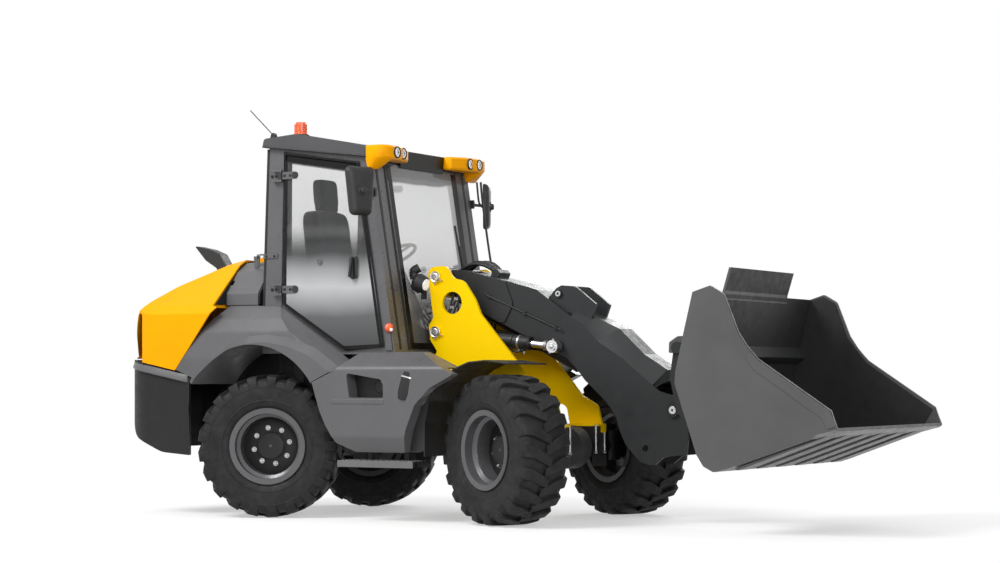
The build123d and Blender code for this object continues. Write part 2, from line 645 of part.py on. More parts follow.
for side, hand in ((1, "left"), (-1, "right")):
    for piece, name in ((door.part, "door_frame"), (door_glass.part, "door_glass"),
                        (door_fittings.part, "door_hinges"), (door_handle.part, "door_handle")):
        write(piece if side > 0 else piece.mirror(Plane.XZ), f"{name}_{hand}")

# ---------------------------------------------------------------- on the cab: lamps, mirrors, beacon, antenna
lamp_back = roof_rows[-1][0] + seat_gap
lamp_rows = ((lamp_back, 310, 0), (-110, 310, 20), (-58, 430, 30), (-22, 560, 30), (-30, 690, 30), (-120, 775, 40),
             (lamp_back, 775, 0))
with BuildPart() as lamp_pod:
    layer(lamp_rows, 2672, 2775)
    for y in (489, 599):
        with BuildSketch(Plane.YZ.offset(-75)) as lamp:
            with Locations((y, 2722)):
                Circle(44)
        extrude(lamp.sketch, amount=200, mode=Mode.SUBTRACT)
with BuildPart() as mirror_arm:
    block((-177, -118), (640, 690), (2490, 2550))
    cross_bar((-130, 2520), 11, 900, 640)
    upright_bar((-130, 900), 11, 2420, 2531)
    with Locations(Location((-147, 917, 2422), (0, 0, 25.5))):
        Box(50, 250, 360)
for side, hand in ((1, "left"), (-1, "right")):
    write(lamp_pod.part if side > 0 else lamp_pod.part.mirror(Plane.XZ), f"lamp_pod_{hand}")
    write(mirror_arm.part if side > 0 else mirror_arm.part.mirror(Plane.XZ), f"mirror_{hand}")

beacon_at = (-930, -550)
with BuildPart() as beacon:
    upright_bar(beacon_at, 62, 2860, 2910)
    upright_bar(beacon_at, 52, 2910, 2985)
    upright_bar(beacon_at, 40, 2985, 3001)
    with BuildSketch(Plane.XZ.offset(-1000)) as roof_top:
        outline(roof_rows)
        offset(amount=seat_gap, kind=Kind.INTERSECTION)
    extrude(roof_top.sketch, amount=2000, mode=Mode.SUBTRACT)
write(beacon.part, "beacon")

antenna_foot = (-1110, 2900)
antenna_tip = (-1330, 3105)
with BuildPart() as antenna:
    cross_bar(antenna_foot, 22, -640, -664)
    block((-1130, -1090), (-672, -632), (2860, 2895))
    with BuildLine() as whip:
        Line((antenna_foot[0], -652, antenna_foot[1]), (antenna_tip[0], -652, antenna_tip[1]))
    with BuildSketch(Plane(origin=whip.line @ 0, z_dir=whip.line % 0)) as whip_section:
        Circle(4)
    sweep(whip_section.sketch, path=whip.line)
    extrude(roof_top.sketch, amount=2000, mode=Mode.SUBTRACT)
write(antenna.part, "antenna")

# ---------------------------------------------------------------- inside the cab
cab_floor = cab_low + 5 + seat_gap
with BuildPart() as seat:
    block((-1000, -520), (-350, 150), (1600, 1740))
    upright(((-1030, 1740, 0), (-880, 1740, 0), (-960, 2340, 40), (-1060, 2340, 40)), 140, -340)
    upright(((-1040, 2360, 20), (-970, 2360, 20), (-985, 2600, 30), (-1055, 2600, 30)), 20, -220)
    block((-1020, -1000), (-140, -60), (2320, 2400))
    block((-900, -620), (-280, 80), (cab_floor, 1600))
write(seat.part, "seat")

wheel_centre = (-440, 1990)
with BuildPart() as steering_column:
    with Locations(Location((wheel_centre[0], 0, wheel_centre[1]), (0, -28, 0))):
        Torus(182, 13)
        Cylinder(45, 26)
        with PolarLocations(110, 3):
            Box(150, 26, 12)
        Cylinder(32, 620, align=(Align.CENTER, Align.CENTER, Align.MAX))
    block((-330, -120), (-170, 170), (cab_floor, 1450))
write(steering_column.part, "steering_column")

# ---------------------------------------------------------------- loader arm
reach_x = hitch_pivot[0] - pivot[0]
drop_z = hitch_pivot[1] - pivot[1]
arm_length = hypot(reach_x, drop_z)
arm_slope = degrees(atan2(-drop_z, reach_x))       # of the line through the arm's pivots, below level
tilt_pin_radius = 22
tilt_base = shifted(pivot, lever)
tilt_eye = shifted(hitch_pivot, lever)


def from_pivot(along, below):
    """Point (x, z) measured along and below the line from the arm's pivot to the hitch pivot."""
    direction = radians(arm_slope)
    return (pivot[0] + along * cos(direction) - below * sin(direction),
            pivot[1] - along * sin(direction) - below * cos(direction))


boss_radius = 75
# x, z, corner radius: side plates of the box-section arm
boom_rows = (
    (106, 1743, 0), (101, 1868, 0), (290, 1861, 60), (472, 1816, 60), (670, 1770, 60), (917, 1702, 60),
    (1200, 1500, 60), (1301, 1443, 60), (1424, 1317, 60), (1611, 1201, 60), (1866, 999, 40), (1919, 955, 20),
    (2010, 927, 20), (2082, 914, 15), (2140, 820, 60), (2150, 600, 60), (2139, 500, 12), (1995, 488, 20),
    (1949, 476, 15), (1889, 426, 15), (1843, 422, 12), (1759, 451, 30), (1651, 567, 40), (1605, 663, 30),
    (1574, 760, 30), (1535, 828, 30), (1457, 911, 40), (1317, 1035, 40), (1251, 1115, 40), (1177, 1188, 40),
    (790, 1375, 60), (472, 1528, 60),
)
crown_low = ((1180, 1380), (1200, 1500), (1301, 1443), (1424, 1317), (1611, 1201), (1866, 999), (1840, 960))
crown_high = ((1180, 1390), (1230, 1560), (1330, 1515), (1570, 1408), (1768, 1224), (1955, 1108), (1960, 985))
crown_half = 100
doubler_rows = ((106, 1743, 0), (101, 1868, 0), (290, 1861, 60), (472, 1816, 60), (650, 1774, 30), (720, 1600, 60),
                (640, 1450, 40), (472, 1528, 60))
bracket_rows = ((990, 1640, 0), (1058, 1712, 20), (1102, 1732, 15), (1218, 1722, 40), (1391, 1588, 10),
                (1350, 1480, 0), (1050, 1560, 0))
bracket_pin = (1081, 1670)
lock_hole = (1808, 545)
inner_half = boom_half - boom_plate
# room for the hitch's lugs as they swing between the side plates
nose_rows = ((1560, 300, 0), (2300, 300, 0), (2300, 1100, 0), (2100, 1100, 0), (2040, 900, 0), (1960, 885, 0),
             (1740, 735, 0), (1560, 610, 0))


def crown(y, rows):
    with BuildSketch(Plane.XZ.offset(-y)) as face:
        with BuildLine() as edge:
            Polyline(rows, close=True)
        make_face(edge.edges())
    return face.sketch


with BuildPart() as boom_inside:
    with BuildSketch(Plane.XZ.offset(-inner_half)) as boom_hollow:
        outline(boom_rows)
        offset(amount=-14, kind=Kind.INTERSECTION)
    extrude(boom_hollow.sketch, amount=2 * inner_half)
    upright(((*from_pivot(-160, 15), 0), (*from_pivot(2300, 15), 0), (*from_pivot(2300, 195), 0),
             (*from_pivot(-160, 195), 0)), 62, -62)
    cross_bar(pivot, 240, 82, -82)
    cross_bar(hitch_pivot, 218, inner_half, -inner_half)
    upright(nose_rows, inner_half, -inner_half)
with BuildPart() as boom:
    upright(boom_rows, boom_half, -boom_half)
    loft([crown(boom_half, crown_low), crown(crown_half, crown_high)], ruled=True)
    loft([crown(-crown_half, crown_high), crown(-boom_half, crown_low)], ruled=True)
    upright([(*row, 0) for row in crown_high], crown_half, -crown_half)
    add(boom_inside.part, mode=Mode.SUBTRACT)
    both_sides(doubler_rows, boom_half + 12, boom_half)
    for side in (-1, 1):
        cross_bar(pivot, boss_radius, *on_side(side, 295, 82))
        cross_bar(lift_eye, 45, *on_side(side, 190, inner_half))
        cross_bar(hitch_pivot, 78, *on_side(side, boom_half, inner_half))
    for outer in (122, -98):
        upright(bracket_rows, outer, outer - 24)
    cross_bar(bracket_pin, 28, 140, -140)
    cross_bar(pivot, pivot_pin_radius + pin_gap, 400, -400, Mode.SUBTRACT)
    cross_bar(hitch_pivot, pivot_pin_radius + pin_gap, 400, -400, Mode.SUBTRACT)
    cross_bar(lock_hole, 26, 400, -400, Mode.SUBTRACT)
write(boom.part, "boom")

with BuildPart() as levelling_pin:
    cross_bar(hitch_pivot, pivot_pin_radius, 185, -185)
    for side in (-1, 1):
        cross_bar(hitch_pivot, 52, *on_side(side, 185, boom_half + 1))
write(levelling_pin.part, "levelling_pin")

# ---------------------------------------------------------------- quick hitch
top_tube = (2215, 1262)
top_tube_radius = 40
low_tube = (2522, 690)
low_tube_radius = 30
hitch_plate = (450, 425)         # |y| of the side plates' faces
lug_rows = (
    (2034, 742, 0), (2034, 898, 0), (2150, 985, 60), (2178, 1262, 0), (2252, 1262, 0), (2290, 1010, 100),
    (2400, 860, 60), (2535, 718, 0), (2512, 662, 0), (2300, 690, 60),
)
hitch_side_rows = (
    (2141, 1050, 20), (2172, 1267, 15), (2226, 1304, 20), (2330, 1290, 40), (2420, 1180, 60), (2425, 1020, 60),
    (2510, 790, 40), (2560, 690, 15), (2535, 648, 15), (2450, 620, 40), (2200, 800, 60),
)
ear_reach = ((*hitch_pivot, 0), (2034, 898, 0), (2150, 960, 0), (2150, 640, 0), (tilt_eye[0], tilt_eye[1] - 42, 0))
with BuildPart() as hitch:
    both_sides(lug_rows, 130, 100)
    cross_bar(top_tube, top_tube_radius, 500, -500)
    cross_bar(low_tube, low_tube_radius, 500, -500)
    both_sides(hitch_side_rows, *hitch_plate)
    block((2150, 2175), (-130, 130), (725, 980))
    block((2185, 2330), (-425, 425), (1140, 1158))
    for side in (-1, 1):
        cross_bar(hitch_pivot, 80, *on_side(side, 136, 94))
        upright(ear_reach, *on_side(side, 70, 45))
        cross_bar(tilt_eye, 42, *on_side(side, 70, 45))
    cross_bar(hitch_pivot, pivot_pin_radius + pin_gap, 400, -400, Mode.SUBTRACT)
    cross_bar(tilt_eye, tilt_pin_radius + pin_gap, 400, -400, Mode.SUBTRACT)
write(hitch.part, "hitch")

# ---------------------------------------------------------------- bucket
bucket_half = 1025
bucket_side = 25
bucket_rows = (
    (2585, 1627, 10), (2715, 1668, 20), (2814, 1611, 60), (2914, 1353, 60), (2976, 1261, 60), (3057, 1172, 60),
    (3571, 833, 30), (3621, 710, 4), (3488, 670, 0), (2852, 450, 60), (2739, 419, 40), (2664, 458, 30),
    (2613, 537, 40), (2544, 743, 60), (2452, 1012, 30), (2459, 1097, 30), (2523, 1372, 60),
)
# inner face of the back and floor, then out past the mouth
bucket_inner_rows = (
    (2604, 1640, 0), (2541, 1370, 60), (2478, 1095, 30), (2471, 1016, 30), (2562, 748, 60), (2630, 545, 40),
    (2675, 473, 30), (2741, 438, 40), (2847, 468, 60), (3484, 688, 0), (3640, 732, 0), (3900, 900, 0),
    (3900, 1900, 0), (2640, 1900, 0),
)
guard_top = 1810
spill_rows = ((2575, 1590, 0), (2592, 1650, 20), (2640, guard_top, 0), (2660, guard_top, 0), (2612, 1650, 20),
              (2604, 1590, 0))
hook_rows = (
    (2148, 1225, 10), (2150, 1300, 20), (2215, 1342, 40), (2330, 1345, 60), (2518, 1340, 0), (2465, 1097, 0),
    (2458, 1012, 0), (2550, 743, 0), (2612, 560, 0), (2560, 590, 20), (2480, 655, 30), (2478, 760, 40),
    (2425, 1000, 60), (2392, 1170, 60), (2262, 1200, 20), (2262, 1262, 0), (2175, 1262, 0), (2175, 1225, 10),
)
with BuildPart() as bucket:
    upright(bucket_rows, bucket_half, -bucket_half)
    upright(bucket_inner_rows, bucket_half - bucket_side, bucket_side - bucket_half, Mode.SUBTRACT)
    upright(spill_rows, 550, -550)
    both_sides(hook_rows, 480, 455)
    cross_bar(top_tube, top_tube_radius + seat_gap, 520, -520, Mode.SUBTRACT)
    cross_bar(low_tube, low_tube_radius + seat_gap, 520, -520, Mode.SUBTRACT)
write(bucket.part, "bucket")

# ---------------------------------------------------------------- lift and tilt cylinders, along their own x axis
lift_y = 233
lift_length = hypot(lift_eye[0] - lift_base[0], lift_eye[1] - lift_base[1])
lift_slope = degrees(atan2(lift_base[1] - lift_eye[1], lift_eye[0] - lift_base[0]))
lift_bore = 40
lift_tube = 48
lift_rod_radius = 25
lift_barrel_end = 760
lift_barrel_rows = (
    (30, 0, 0), (30, lift_tube, 0), (lift_barrel_end, lift_tube, 0), (lift_barrel_end, lift_rod_radius + pin_gap, 0),
    (lift_barrel_end - 40, lift_rod_radius + pin_gap, 0), (lift_barrel_end - 40, lift_bore, 0), (70, lift_bore, 0),
    (70, 0, 0),
)
with BuildPart() as lift_barrel:
    with BuildSketch(Plane.XZ) as barrel_half:
        outline(lift_barrel_rows)
    revolve(barrel_half.sketch, axis=Axis.X)
    cross_bar((0, 0), 50, 42, -42)
    cross_bar((0, 0), cylinder_pin_radius + pin_gap, 60, -60, Mode.SUBTRACT)
with BuildPart() as lift_rod:
    with BuildSketch(Plane.YZ.offset(-700)) as rod_end:
        Circle(lift_rod_radius)
    extrude(rod_end.sketch, amount=690)
    cross_bar((0, 0), 46, 37, -37)
    cross_bar((0, 0), 32, 48, 37)
for side, hand in ((1, "left"), (-1, "right")):
    write(lift_barrel.part, f"lift_barrel_{hand}", Location((lift_base[0], side * lift_y, lift_base[1]),
                                                            (0, lift_slope, 0)))
    rod = lift_rod.part if side > 0 else lift_rod.part.mirror(Plane.XZ)
    write(rod, f"lift_rod_{hand}", Location((lift_eye[0], side * lift_y, lift_eye[1]), (0, lift_slope, 0)))

tilt_tube = 42
tilt_bore = 35
tilt_rod_radius = 22
tilt_barrel_end = 1200
tilt_barrel_rows = (
    (28, 0, 0), (28, tilt_tube, 0), (tilt_barrel_end, tilt_tube, 0), (tilt_barrel_end, tilt_rod_radius + pin_gap, 0),
    (tilt_barrel_end - 40, tilt_rod_radius + pin_gap, 0), (tilt_barrel_end - 40, tilt_bore, 0), (64, tilt_bore, 0),
    (64, 0, 0),
)
with BuildPart() as tilt_barrel:
    with BuildSketch(Plane.XZ) as tilt_half:
        outline(tilt_barrel_rows)
    revolve(tilt_half.sketch, axis=Axis.X)
    cross_bar((0, 0), 45, 50, -50)
    cross_bar((0, 0), tilt_pin_radius + pin_gap, 60, -60, Mode.SUBTRACT)
write(tilt_barrel.part, "tilt_barrel", Location((tilt_base[0], 0, tilt_base[1]), (0, arm_slope, 0)))
with BuildPart() as tilt_rod:
    with BuildSketch(Plane.YZ.offset(-1070)) as tilt_rod_end:
        Circle(tilt_rod_radius)
    extrude(tilt_rod_end.sketch, amount=1060)
    cross_bar((0, 0), 38, 39, -39)
write(tilt_rod.part, "tilt_rod", Location((tilt_eye[0], 0, tilt_eye[1]), (0, arm_slope, 0)))
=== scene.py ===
"""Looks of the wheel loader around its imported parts.

Points are measured in millimetres in the axles' frame of the part's source: x forward from the middle of
the wheelbase, y to the driver's left, z up.  at() turns them into metres in the part's own frame.
"""

import math

import bmesh
import bpy
from mathutils import Matrix, Vector


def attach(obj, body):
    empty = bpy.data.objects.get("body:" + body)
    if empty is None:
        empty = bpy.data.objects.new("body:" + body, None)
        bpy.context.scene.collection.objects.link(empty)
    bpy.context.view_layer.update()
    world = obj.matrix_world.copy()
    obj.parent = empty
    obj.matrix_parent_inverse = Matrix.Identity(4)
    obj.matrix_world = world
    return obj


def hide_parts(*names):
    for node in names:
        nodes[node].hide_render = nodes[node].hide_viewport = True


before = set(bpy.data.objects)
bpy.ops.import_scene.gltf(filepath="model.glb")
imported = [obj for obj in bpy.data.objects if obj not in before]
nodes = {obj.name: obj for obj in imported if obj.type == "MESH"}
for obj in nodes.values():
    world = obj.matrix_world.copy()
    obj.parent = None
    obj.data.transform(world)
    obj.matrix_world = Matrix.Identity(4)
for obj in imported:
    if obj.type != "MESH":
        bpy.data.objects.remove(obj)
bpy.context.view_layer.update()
scene = bpy.context.scene
SHIFT = 637.5  # the axles' middle lies this far behind the origin
TYRE_RADIUS = 537.5


def at(x, y, z):
    return Vector(((x - SHIFT) / 1000, y / 1000, z / 1000))


# ---- materials
def linear(*rgb):
    """Linear colour of an 8-bit screen colour."""
    return [(c / 255 / 12.92) if c <= 10 else ((c / 255 + 0.055) / 1.055) ** 2.4 for c in rgb]


class Tree:
    """A node tree, with short calls for the nodes used here."""

    def __init__(self, tree):
        self.tree = tree

    def new(self, kind, **values):
        node = self.tree.nodes.new(kind)
        for key, value in values.items():
            setattr(node, key, value)
        return node

    def link(self, out, socket):
        self.tree.links.new(out, socket)

    def ramp(self, fac, low, high, first, last):
        """Map fac between low and high onto first and last."""
        node = self.new("ShaderNodeMapRange", clamp=True)
        self.link(fac, node.inputs["Value"])
        for key, value in (("From Min", low), ("From Max", high), ("To Min", first), ("To Max", last)):
            node.inputs[key].default_value = value
        return node.outputs["Result"]

    def maths(self, operation, a, b):
        """One sum of two sockets, or of a socket and a number."""
        node = self.new("ShaderNodeMath", operation=operation)
        self.link(a, node.inputs[0])
        if isinstance(b, float):
            node.inputs[1].default_value = b
        else:
            self.link(b, node.inputs[1])
        return node.outputs[0]

    def seen(self):
        """1 for rays from the camera, through glass and off shiny surfaces, 0 for the light that falls."""
        rays = self.new("ShaderNodeLightPath").outputs
        through = self.maths("MAXIMUM", rays["Is Camera Ray"], rays["Is Transmission Ray"])
        return self.maths("MAXIMUM", through, rays["Is Glossy Ray"])


class Nodes(Tree):
    """A material whose textures lie in the object's own coordinates."""

    def __init__(self, name):
        self.material = bpy.data.materials.new(name)
        self.material.use_nodes = True
        super().__init__(self.material.node_tree)
        self.shader = self.tree.nodes["Principled BSDF"]
        self.place = self.new("ShaderNodeTexCoord").outputs["Object"]

    def noise(self, scale, detail=4.0, rough=0.55):
        node = self.new("ShaderNodeTexNoise")
        node.inputs["Scale"].default_value = scale
        node.inputs["Detail"].default_value = detail
        node.inputs["Roughness"].default_value = rough
        self.link(self.place, node.inputs["Vector"])
        return node.outputs["Fac"]

    def height(self):
        """Height over the ground in metres."""
        split = self.new("ShaderNodeSeparateXYZ")
        self.link(self.place, split.inputs["Vector"])
        return split.outputs["Z"]

    def mix(self, fac, a, b):
        """Blend of two colours, each a socket or a plain colour."""
        node = self.new("ShaderNodeMix", data_type="RGBA")
        self.link(fac, node.inputs["Factor"])
        for value, socket in ((a, node.inputs[6]), (b, node.inputs[7])):
            if isinstance(value, (list, tuple)):
                socket.default_value = (*value[:3], 1)
            else:
                self.link(value, socket)
        return node.outputs[2]

    def bump(self, height, strength, distance):
        node = self.new("ShaderNodeBump")
        node.inputs["Strength"].default_value = strength
        node.inputs["Distance"].default_value = distance
        self.link(height, node.inputs["Height"])
        self.link(node.outputs["Normal"], self.shader.inputs["Normal"])

    def set(self, **values):
        for key, value in values.items():
            self.shader.inputs[key.replace("_", " ")].default_value = value


DUST = (0.16, 0.15, 0.135)


def finish(name, screen_colour, rough=0.4, metal=0.0, vary=0.12, cloud=3.0, grain=None, coat=0.0, peel=0.0,
           smudge=0.12, shine=0.5, dust=0.0):
    """Painted, moulded or metal surface: clouded colour, uneven gloss, grain or orange peel, dust low down."""
    m = Nodes(name)
    dark = [c * (1 - vary) for c in linear(*screen_colour)]
    light = [min(1, c * (1 + vary)) for c in linear(*screen_colour)]
    shade = m.mix(m.ramp(m.noise(cloud, 5), 0.35, 0.65, 0, 1), dark, light)
    if dust:
        low = m.ramp(m.height(), 1.3, 0.1, 0, dust)
        shade = m.mix(m.maths("MULTIPLY", low, m.ramp(m.noise(9, 8, 0.7), 0.4, 0.7, 0.1, 1)), shade, DUST)
    m.link(shade, m.shader.inputs["Base Color"])
    m.link(m.ramp(m.noise(14, 6, 0.65), 0.3, 0.75, rough - smudge, rough + smudge), m.shader.inputs["Roughness"])
    m.set(Metallic=metal, Coat_Weight=coat, Coat_Roughness=0.12, Specular_IOR_Level=shine)
    if grain:
        strength, size = grain
        m.bump(m.noise(1 / size, 2), strength, size)
    elif peel:
        m.bump(m.noise(220, 1), peel, 0.0006)
    return m.material


yellow_paint = finish("yellow_paint", (255, 209, 0), 0.36, vary=0.03, peel=0.12, shine=0.1, dust=0.02)
yellow_moulding = finish("yellow_moulding", (255, 170, 0), 0.38, vary=0.03, peel=0.1, shine=0.1)
grey_moulding = finish("grey_moulding", (90, 90, 92), 0.38, vary=0.06, grain=(0.1, 0.0035), dust=0.04)
roof_panel = finish("roof_panel", (84, 84, 86), 0.8, vary=0.06, grain=(0.1, 0.0035), smudge=0.05,
                    shine=0.1)
grey_paint = finish("grey_paint", (88, 88, 90), 0.34, vary=0.05, coat=0.1, peel=0.15)
dark_paint = finish("dark_paint", (44, 45, 46), 0.46, vary=0.08, peel=0.25, shine=0.25, dust=0.04)
cast_paint = finish("cast_paint", (36, 36, 37), 0.5, vary=0.1, grain=(0.3, 0.006), shine=0.22, dust=0.05)
bucket_paint = finish("bucket_paint", (80, 80, 81), 0.44, vary=0.1, cloud=2, peel=0.35, shine=0.4, dust=0.05)
# the bucket's inside: a darker copy of the bucket paint, painted shade
bucket_inner = finish("bucket_inner", (38, 38, 39), 0.5, vary=0.15, cloud=2, peel=0.35, shine=0.3)
black_steel = finish("black_steel", (24, 24, 25), 0.45, vary=0.15, peel=0.3, shine=0.35, dust=0.04)
step_steel = finish("step_steel", (104, 104, 105), 0.45, peel=0.3, dust=0.1)
black_moulding = finish("black_moulding", (28, 28, 29), 0.5, vary=0.15, grain=(0.35, 0.003))
rubber_seal = finish("rubber_seal", (12, 12, 13), 0.55, vary=0.2)
castings = finish("castings", (22, 22, 23), 0.5, vary=0.2, grain=(0.4, 0.005), shine=0.35, dust=0.06)
zinc = finish("zinc", (205, 205, 205), 0.3, metal=0.9, vary=0.08, smudge=0.08)
steel = finish("steel", (170, 168, 165), 0.35, metal=1.0, grain=(0.1, 0.001))
chrome = finish("chrome", (225, 225, 228), 0.12, metal=1.0, vary=0.03, smudge=0.04)
wheel_paint = finish("wheel_paint", (90, 90, 92), 0.34, metal=0.2, vary=0.06, coat=0.1, dust=0.04)
# the wheel disc: a darker copy of the wheel paint, painted shade inside the rim
wheel_dark = finish("wheel_dark", (36, 36, 37), 0.45, peel=0.3, shine=0.3, dust=0.04)
worn_edge = finish("worn_edge", (118, 117, 116), 0.42, metal=0.5, vary=0.25, cloud=8, grain=(0.3, 0.004))


def tyre_material():
    """Scuffed rubber."""
    m = Nodes("tyre_rubber")
    base = m.mix(m.ramp(m.noise(7, 7, 0.65), 0.3, 0.7, 0, 1), linear(20, 20, 21), linear(43, 43, 43))
    scuffed = m.mix(m.ramp(m.noise(34, 8, 0.7), 0.52, 0.74, 0, 0.3), base, linear(46, 45, 44))
    m.link(scuffed, m.shader.inputs["Base Color"])
    m.link(m.ramp(m.noise(24, 5), 0.3, 0.7, 0.5, 0.78), m.shader.inputs["Roughness"])
    m.bump(m.noise(260, 4, 0.7), 0.35, 0.0015)
    m.set(Specular_IOR_Level=0.28)
    return m.material


def pane_with_painted_light(name, stops):
    """Pane with painted shade and painted reflection graded by height: rows of height in metres, screen grey and cover,
    from bottom to top.
    """
    m = Nodes(name)
    low, high = stops[0][0], stops[-1][0]
    ripple = m.ramp(m.noise(1.6, 2), 0.3, 0.7, -0.015, 0.015)
    spot_up = m.maths("ADD", m.ramp(m.height(), low, high, 0, 1), ripple)
    for column, socket in ((1, "Base Color"), (2, "Alpha")):
        band = m.new("ShaderNodeValToRGB")
        m.link(spot_up, band.inputs["Fac"])
        for i, row in enumerate(stops):
            spot = (row[0] - low) / (high - low)
            mark = band.color_ramp.elements[i] if i < 2 else band.color_ramp.elements.new(spot)
            mark.position = spot
        for mark, row in zip(band.color_ramp.elements, stops):
            shade = linear(row[1], row[1] + 1, row[1] + 2) if column == 1 else [row[2]] * 3
            mark.color = (*shade, 1)
        m.link(band.outputs["Color"], m.shader.inputs[socket])
    m.set(Roughness=0.03, IOR=1.5, Coat_Weight=0.2, Coat_Roughness=0.02)
    return m.material


def lens_material(name, screen_colour, glow):
    """Ribbed lamp lens that glows a little."""
    colour = linear(*screen_colour)
    m = Nodes(name)
    wave = m.new("ShaderNodeTexWave", bands_direction="Z")
    wave.inputs["Scale"].default_value = 60
    m.link(m.place, wave.inputs["Vector"])
    shade = m.mix(m.ramp(wave.outputs["Fac"], 0, 1, 0, 0.35), colour, [min(1, c * 1.8) for c in colour])
    m.link(shade, m.shader.inputs["Base Color"])
    m.set(Roughness=0.12, Coat_Weight=0.6, Emission_Color=(*colour, 1), Emission_Strength=glow)
    m.bump(wave.outputs["Fac"], 0.3, 0.002)
    return m.material


def cloth_material():
    """Woven seat cloth, a little worn."""
    m = Nodes("seat_cloth")
    weave = m.new("ShaderNodeTexWave", wave_type="BANDS", bands_direction="DIAGONAL")
    weave.inputs["Scale"].default_value = 420
    weave.inputs["Distortion"].default_value = 0.6
    m.link(m.place, weave.inputs["Vector"])
    shade = m.mix(m.ramp(weave.outputs["Fac"], 0, 1, 0, 1), linear(26, 26, 28), linear(54, 54, 57))
    worn = m.mix(m.ramp(m.noise(6, 6), 0.4, 0.7, 0, 0.4), shade, linear(64, 64, 66))
    m.link(worn, m.shader.inputs["Base Color"])
    m.set(Roughness=0.92, Sheen_Weight=0.35, Sheen_Roughness=0.5)
    m.bump(weave.outputs["Fac"], 0.4, 0.0012)
    return m.material


tyre_rubber = tyre_material()
# grey and cover graded by height on every pane: painted shade of the dark cab behind the glass and painted reflection
# of the pale studio; the screen's darker band from 2.55 m up is its printed border
door_pane = pane_with_painted_light("door_pane", ((1.25, 60, 0.93), (1.52, 92, 0.93), (1.74, 188, 0.93), (1.86, 150, 0.9),
                                         (1.98, 66, 0.75), (2.08, 70, 0.3), (2.2, 170, 0.06), (2.8, 200, 0.04)))
screen_pane = pane_with_painted_light("screen_pane", ((1.2, 96, 0.92), (1.55, 118, 0.85), (1.72, 186, 0.4), (1.9, 236, 0.34),
                                             (2.3, 250, 0.4), (2.535, 252, 0.5), (2.55, 140, 0.8), (2.7, 110, 0.85)))
clear_pane = pane_with_painted_light("clear_pane", ((1.25, 110, 0.3), (1.8, 150, 0.16), (2.2, 190, 0.08), (2.8, 200, 0.06)))
rear_pane = pane_with_painted_light("rear_pane", ((1.6, 110, 0.6), (1.95, 120, 0.4), (2.2, 190, 0.2), (2.8, 200, 0.15)))
frit = finish("glass_border", (10, 10, 11), 0.3, vary=0.1, smudge=0.04, shine=0.25)
orange = lens_material("orange_lens", (236, 84, 24), 0.15)
red = lens_material("red_lens", (170, 12, 10), 0.1)
clear = lens_material("clear_lens", (232, 234, 236), 0.35)
mirror = finish("mirror_glass", (215, 220, 224), 0.04, metal=1.0, vary=0.02, smudge=0.02)
seat_cloth = cloth_material()


# the record's slots, each with the materials that take their finish from it
SLOTS = {
    "yellow_paint": ["yellow_paint"], "yellow_panel": ["yellow_moulding"], "grey_paint": ["grey_paint"],
    "grey_panel": ["grey_moulding", "roof_panel"], "dark_paint": ["dark_paint", "bucket_paint", "bucket_inner"],
    "black_steel": ["black_steel", "step_steel"], "black_plastic": ["black_moulding", "rubber_seal", "glass_border"],
    "bare_steel": ["zinc", "steel", "worn_edge"], "clear_glass": ["mirror_glass", "clear_lens"],
    "amber_lens": ["orange_lens", "red_lens"], "seat_cloth": ["seat_cloth"], "tyre_rubber": ["tyre_rubber"],
    "wheel_paint": ["wheel_dark"]}
SLOTS = {material: slot for slot, materials in SLOTS.items() for material in materials}


# ---- pieces
def smooth_line(points, steps):
    """Points along a smooth curve through the given ones."""
    points = [Vector(p) for p in points]
    if steps <= 1:
        return points
    ends = [2 * points[0] - points[1], *points, 2 * points[-1] - points[-2]]
    line = []
    for i in range(1, len(ends) - 2):
        p0, p1, p2, p3 = ends[i - 1:i + 3]
        for k in range(steps):
            t = k / steps
            line.append(0.5 * (2 * p1 + (p2 - p0) * t + (2 * p0 - 5 * p1 + 4 * p2 - p3) * t * t
                               + (3 * p1 - p0 - 3 * p2 + p3) * t ** 3))
    return line + [points[-1]]


def angles(count):
    """Equal steps round a circle."""
    return [2 * math.pi * k / count for k in range(count)]


def axes(direction):
    """Unit vectors along a direction and two across it."""
    axis = Vector(direction).normalized()
    side = axis.orthogonal().normalized()
    return axis, side, axis.cross(side)


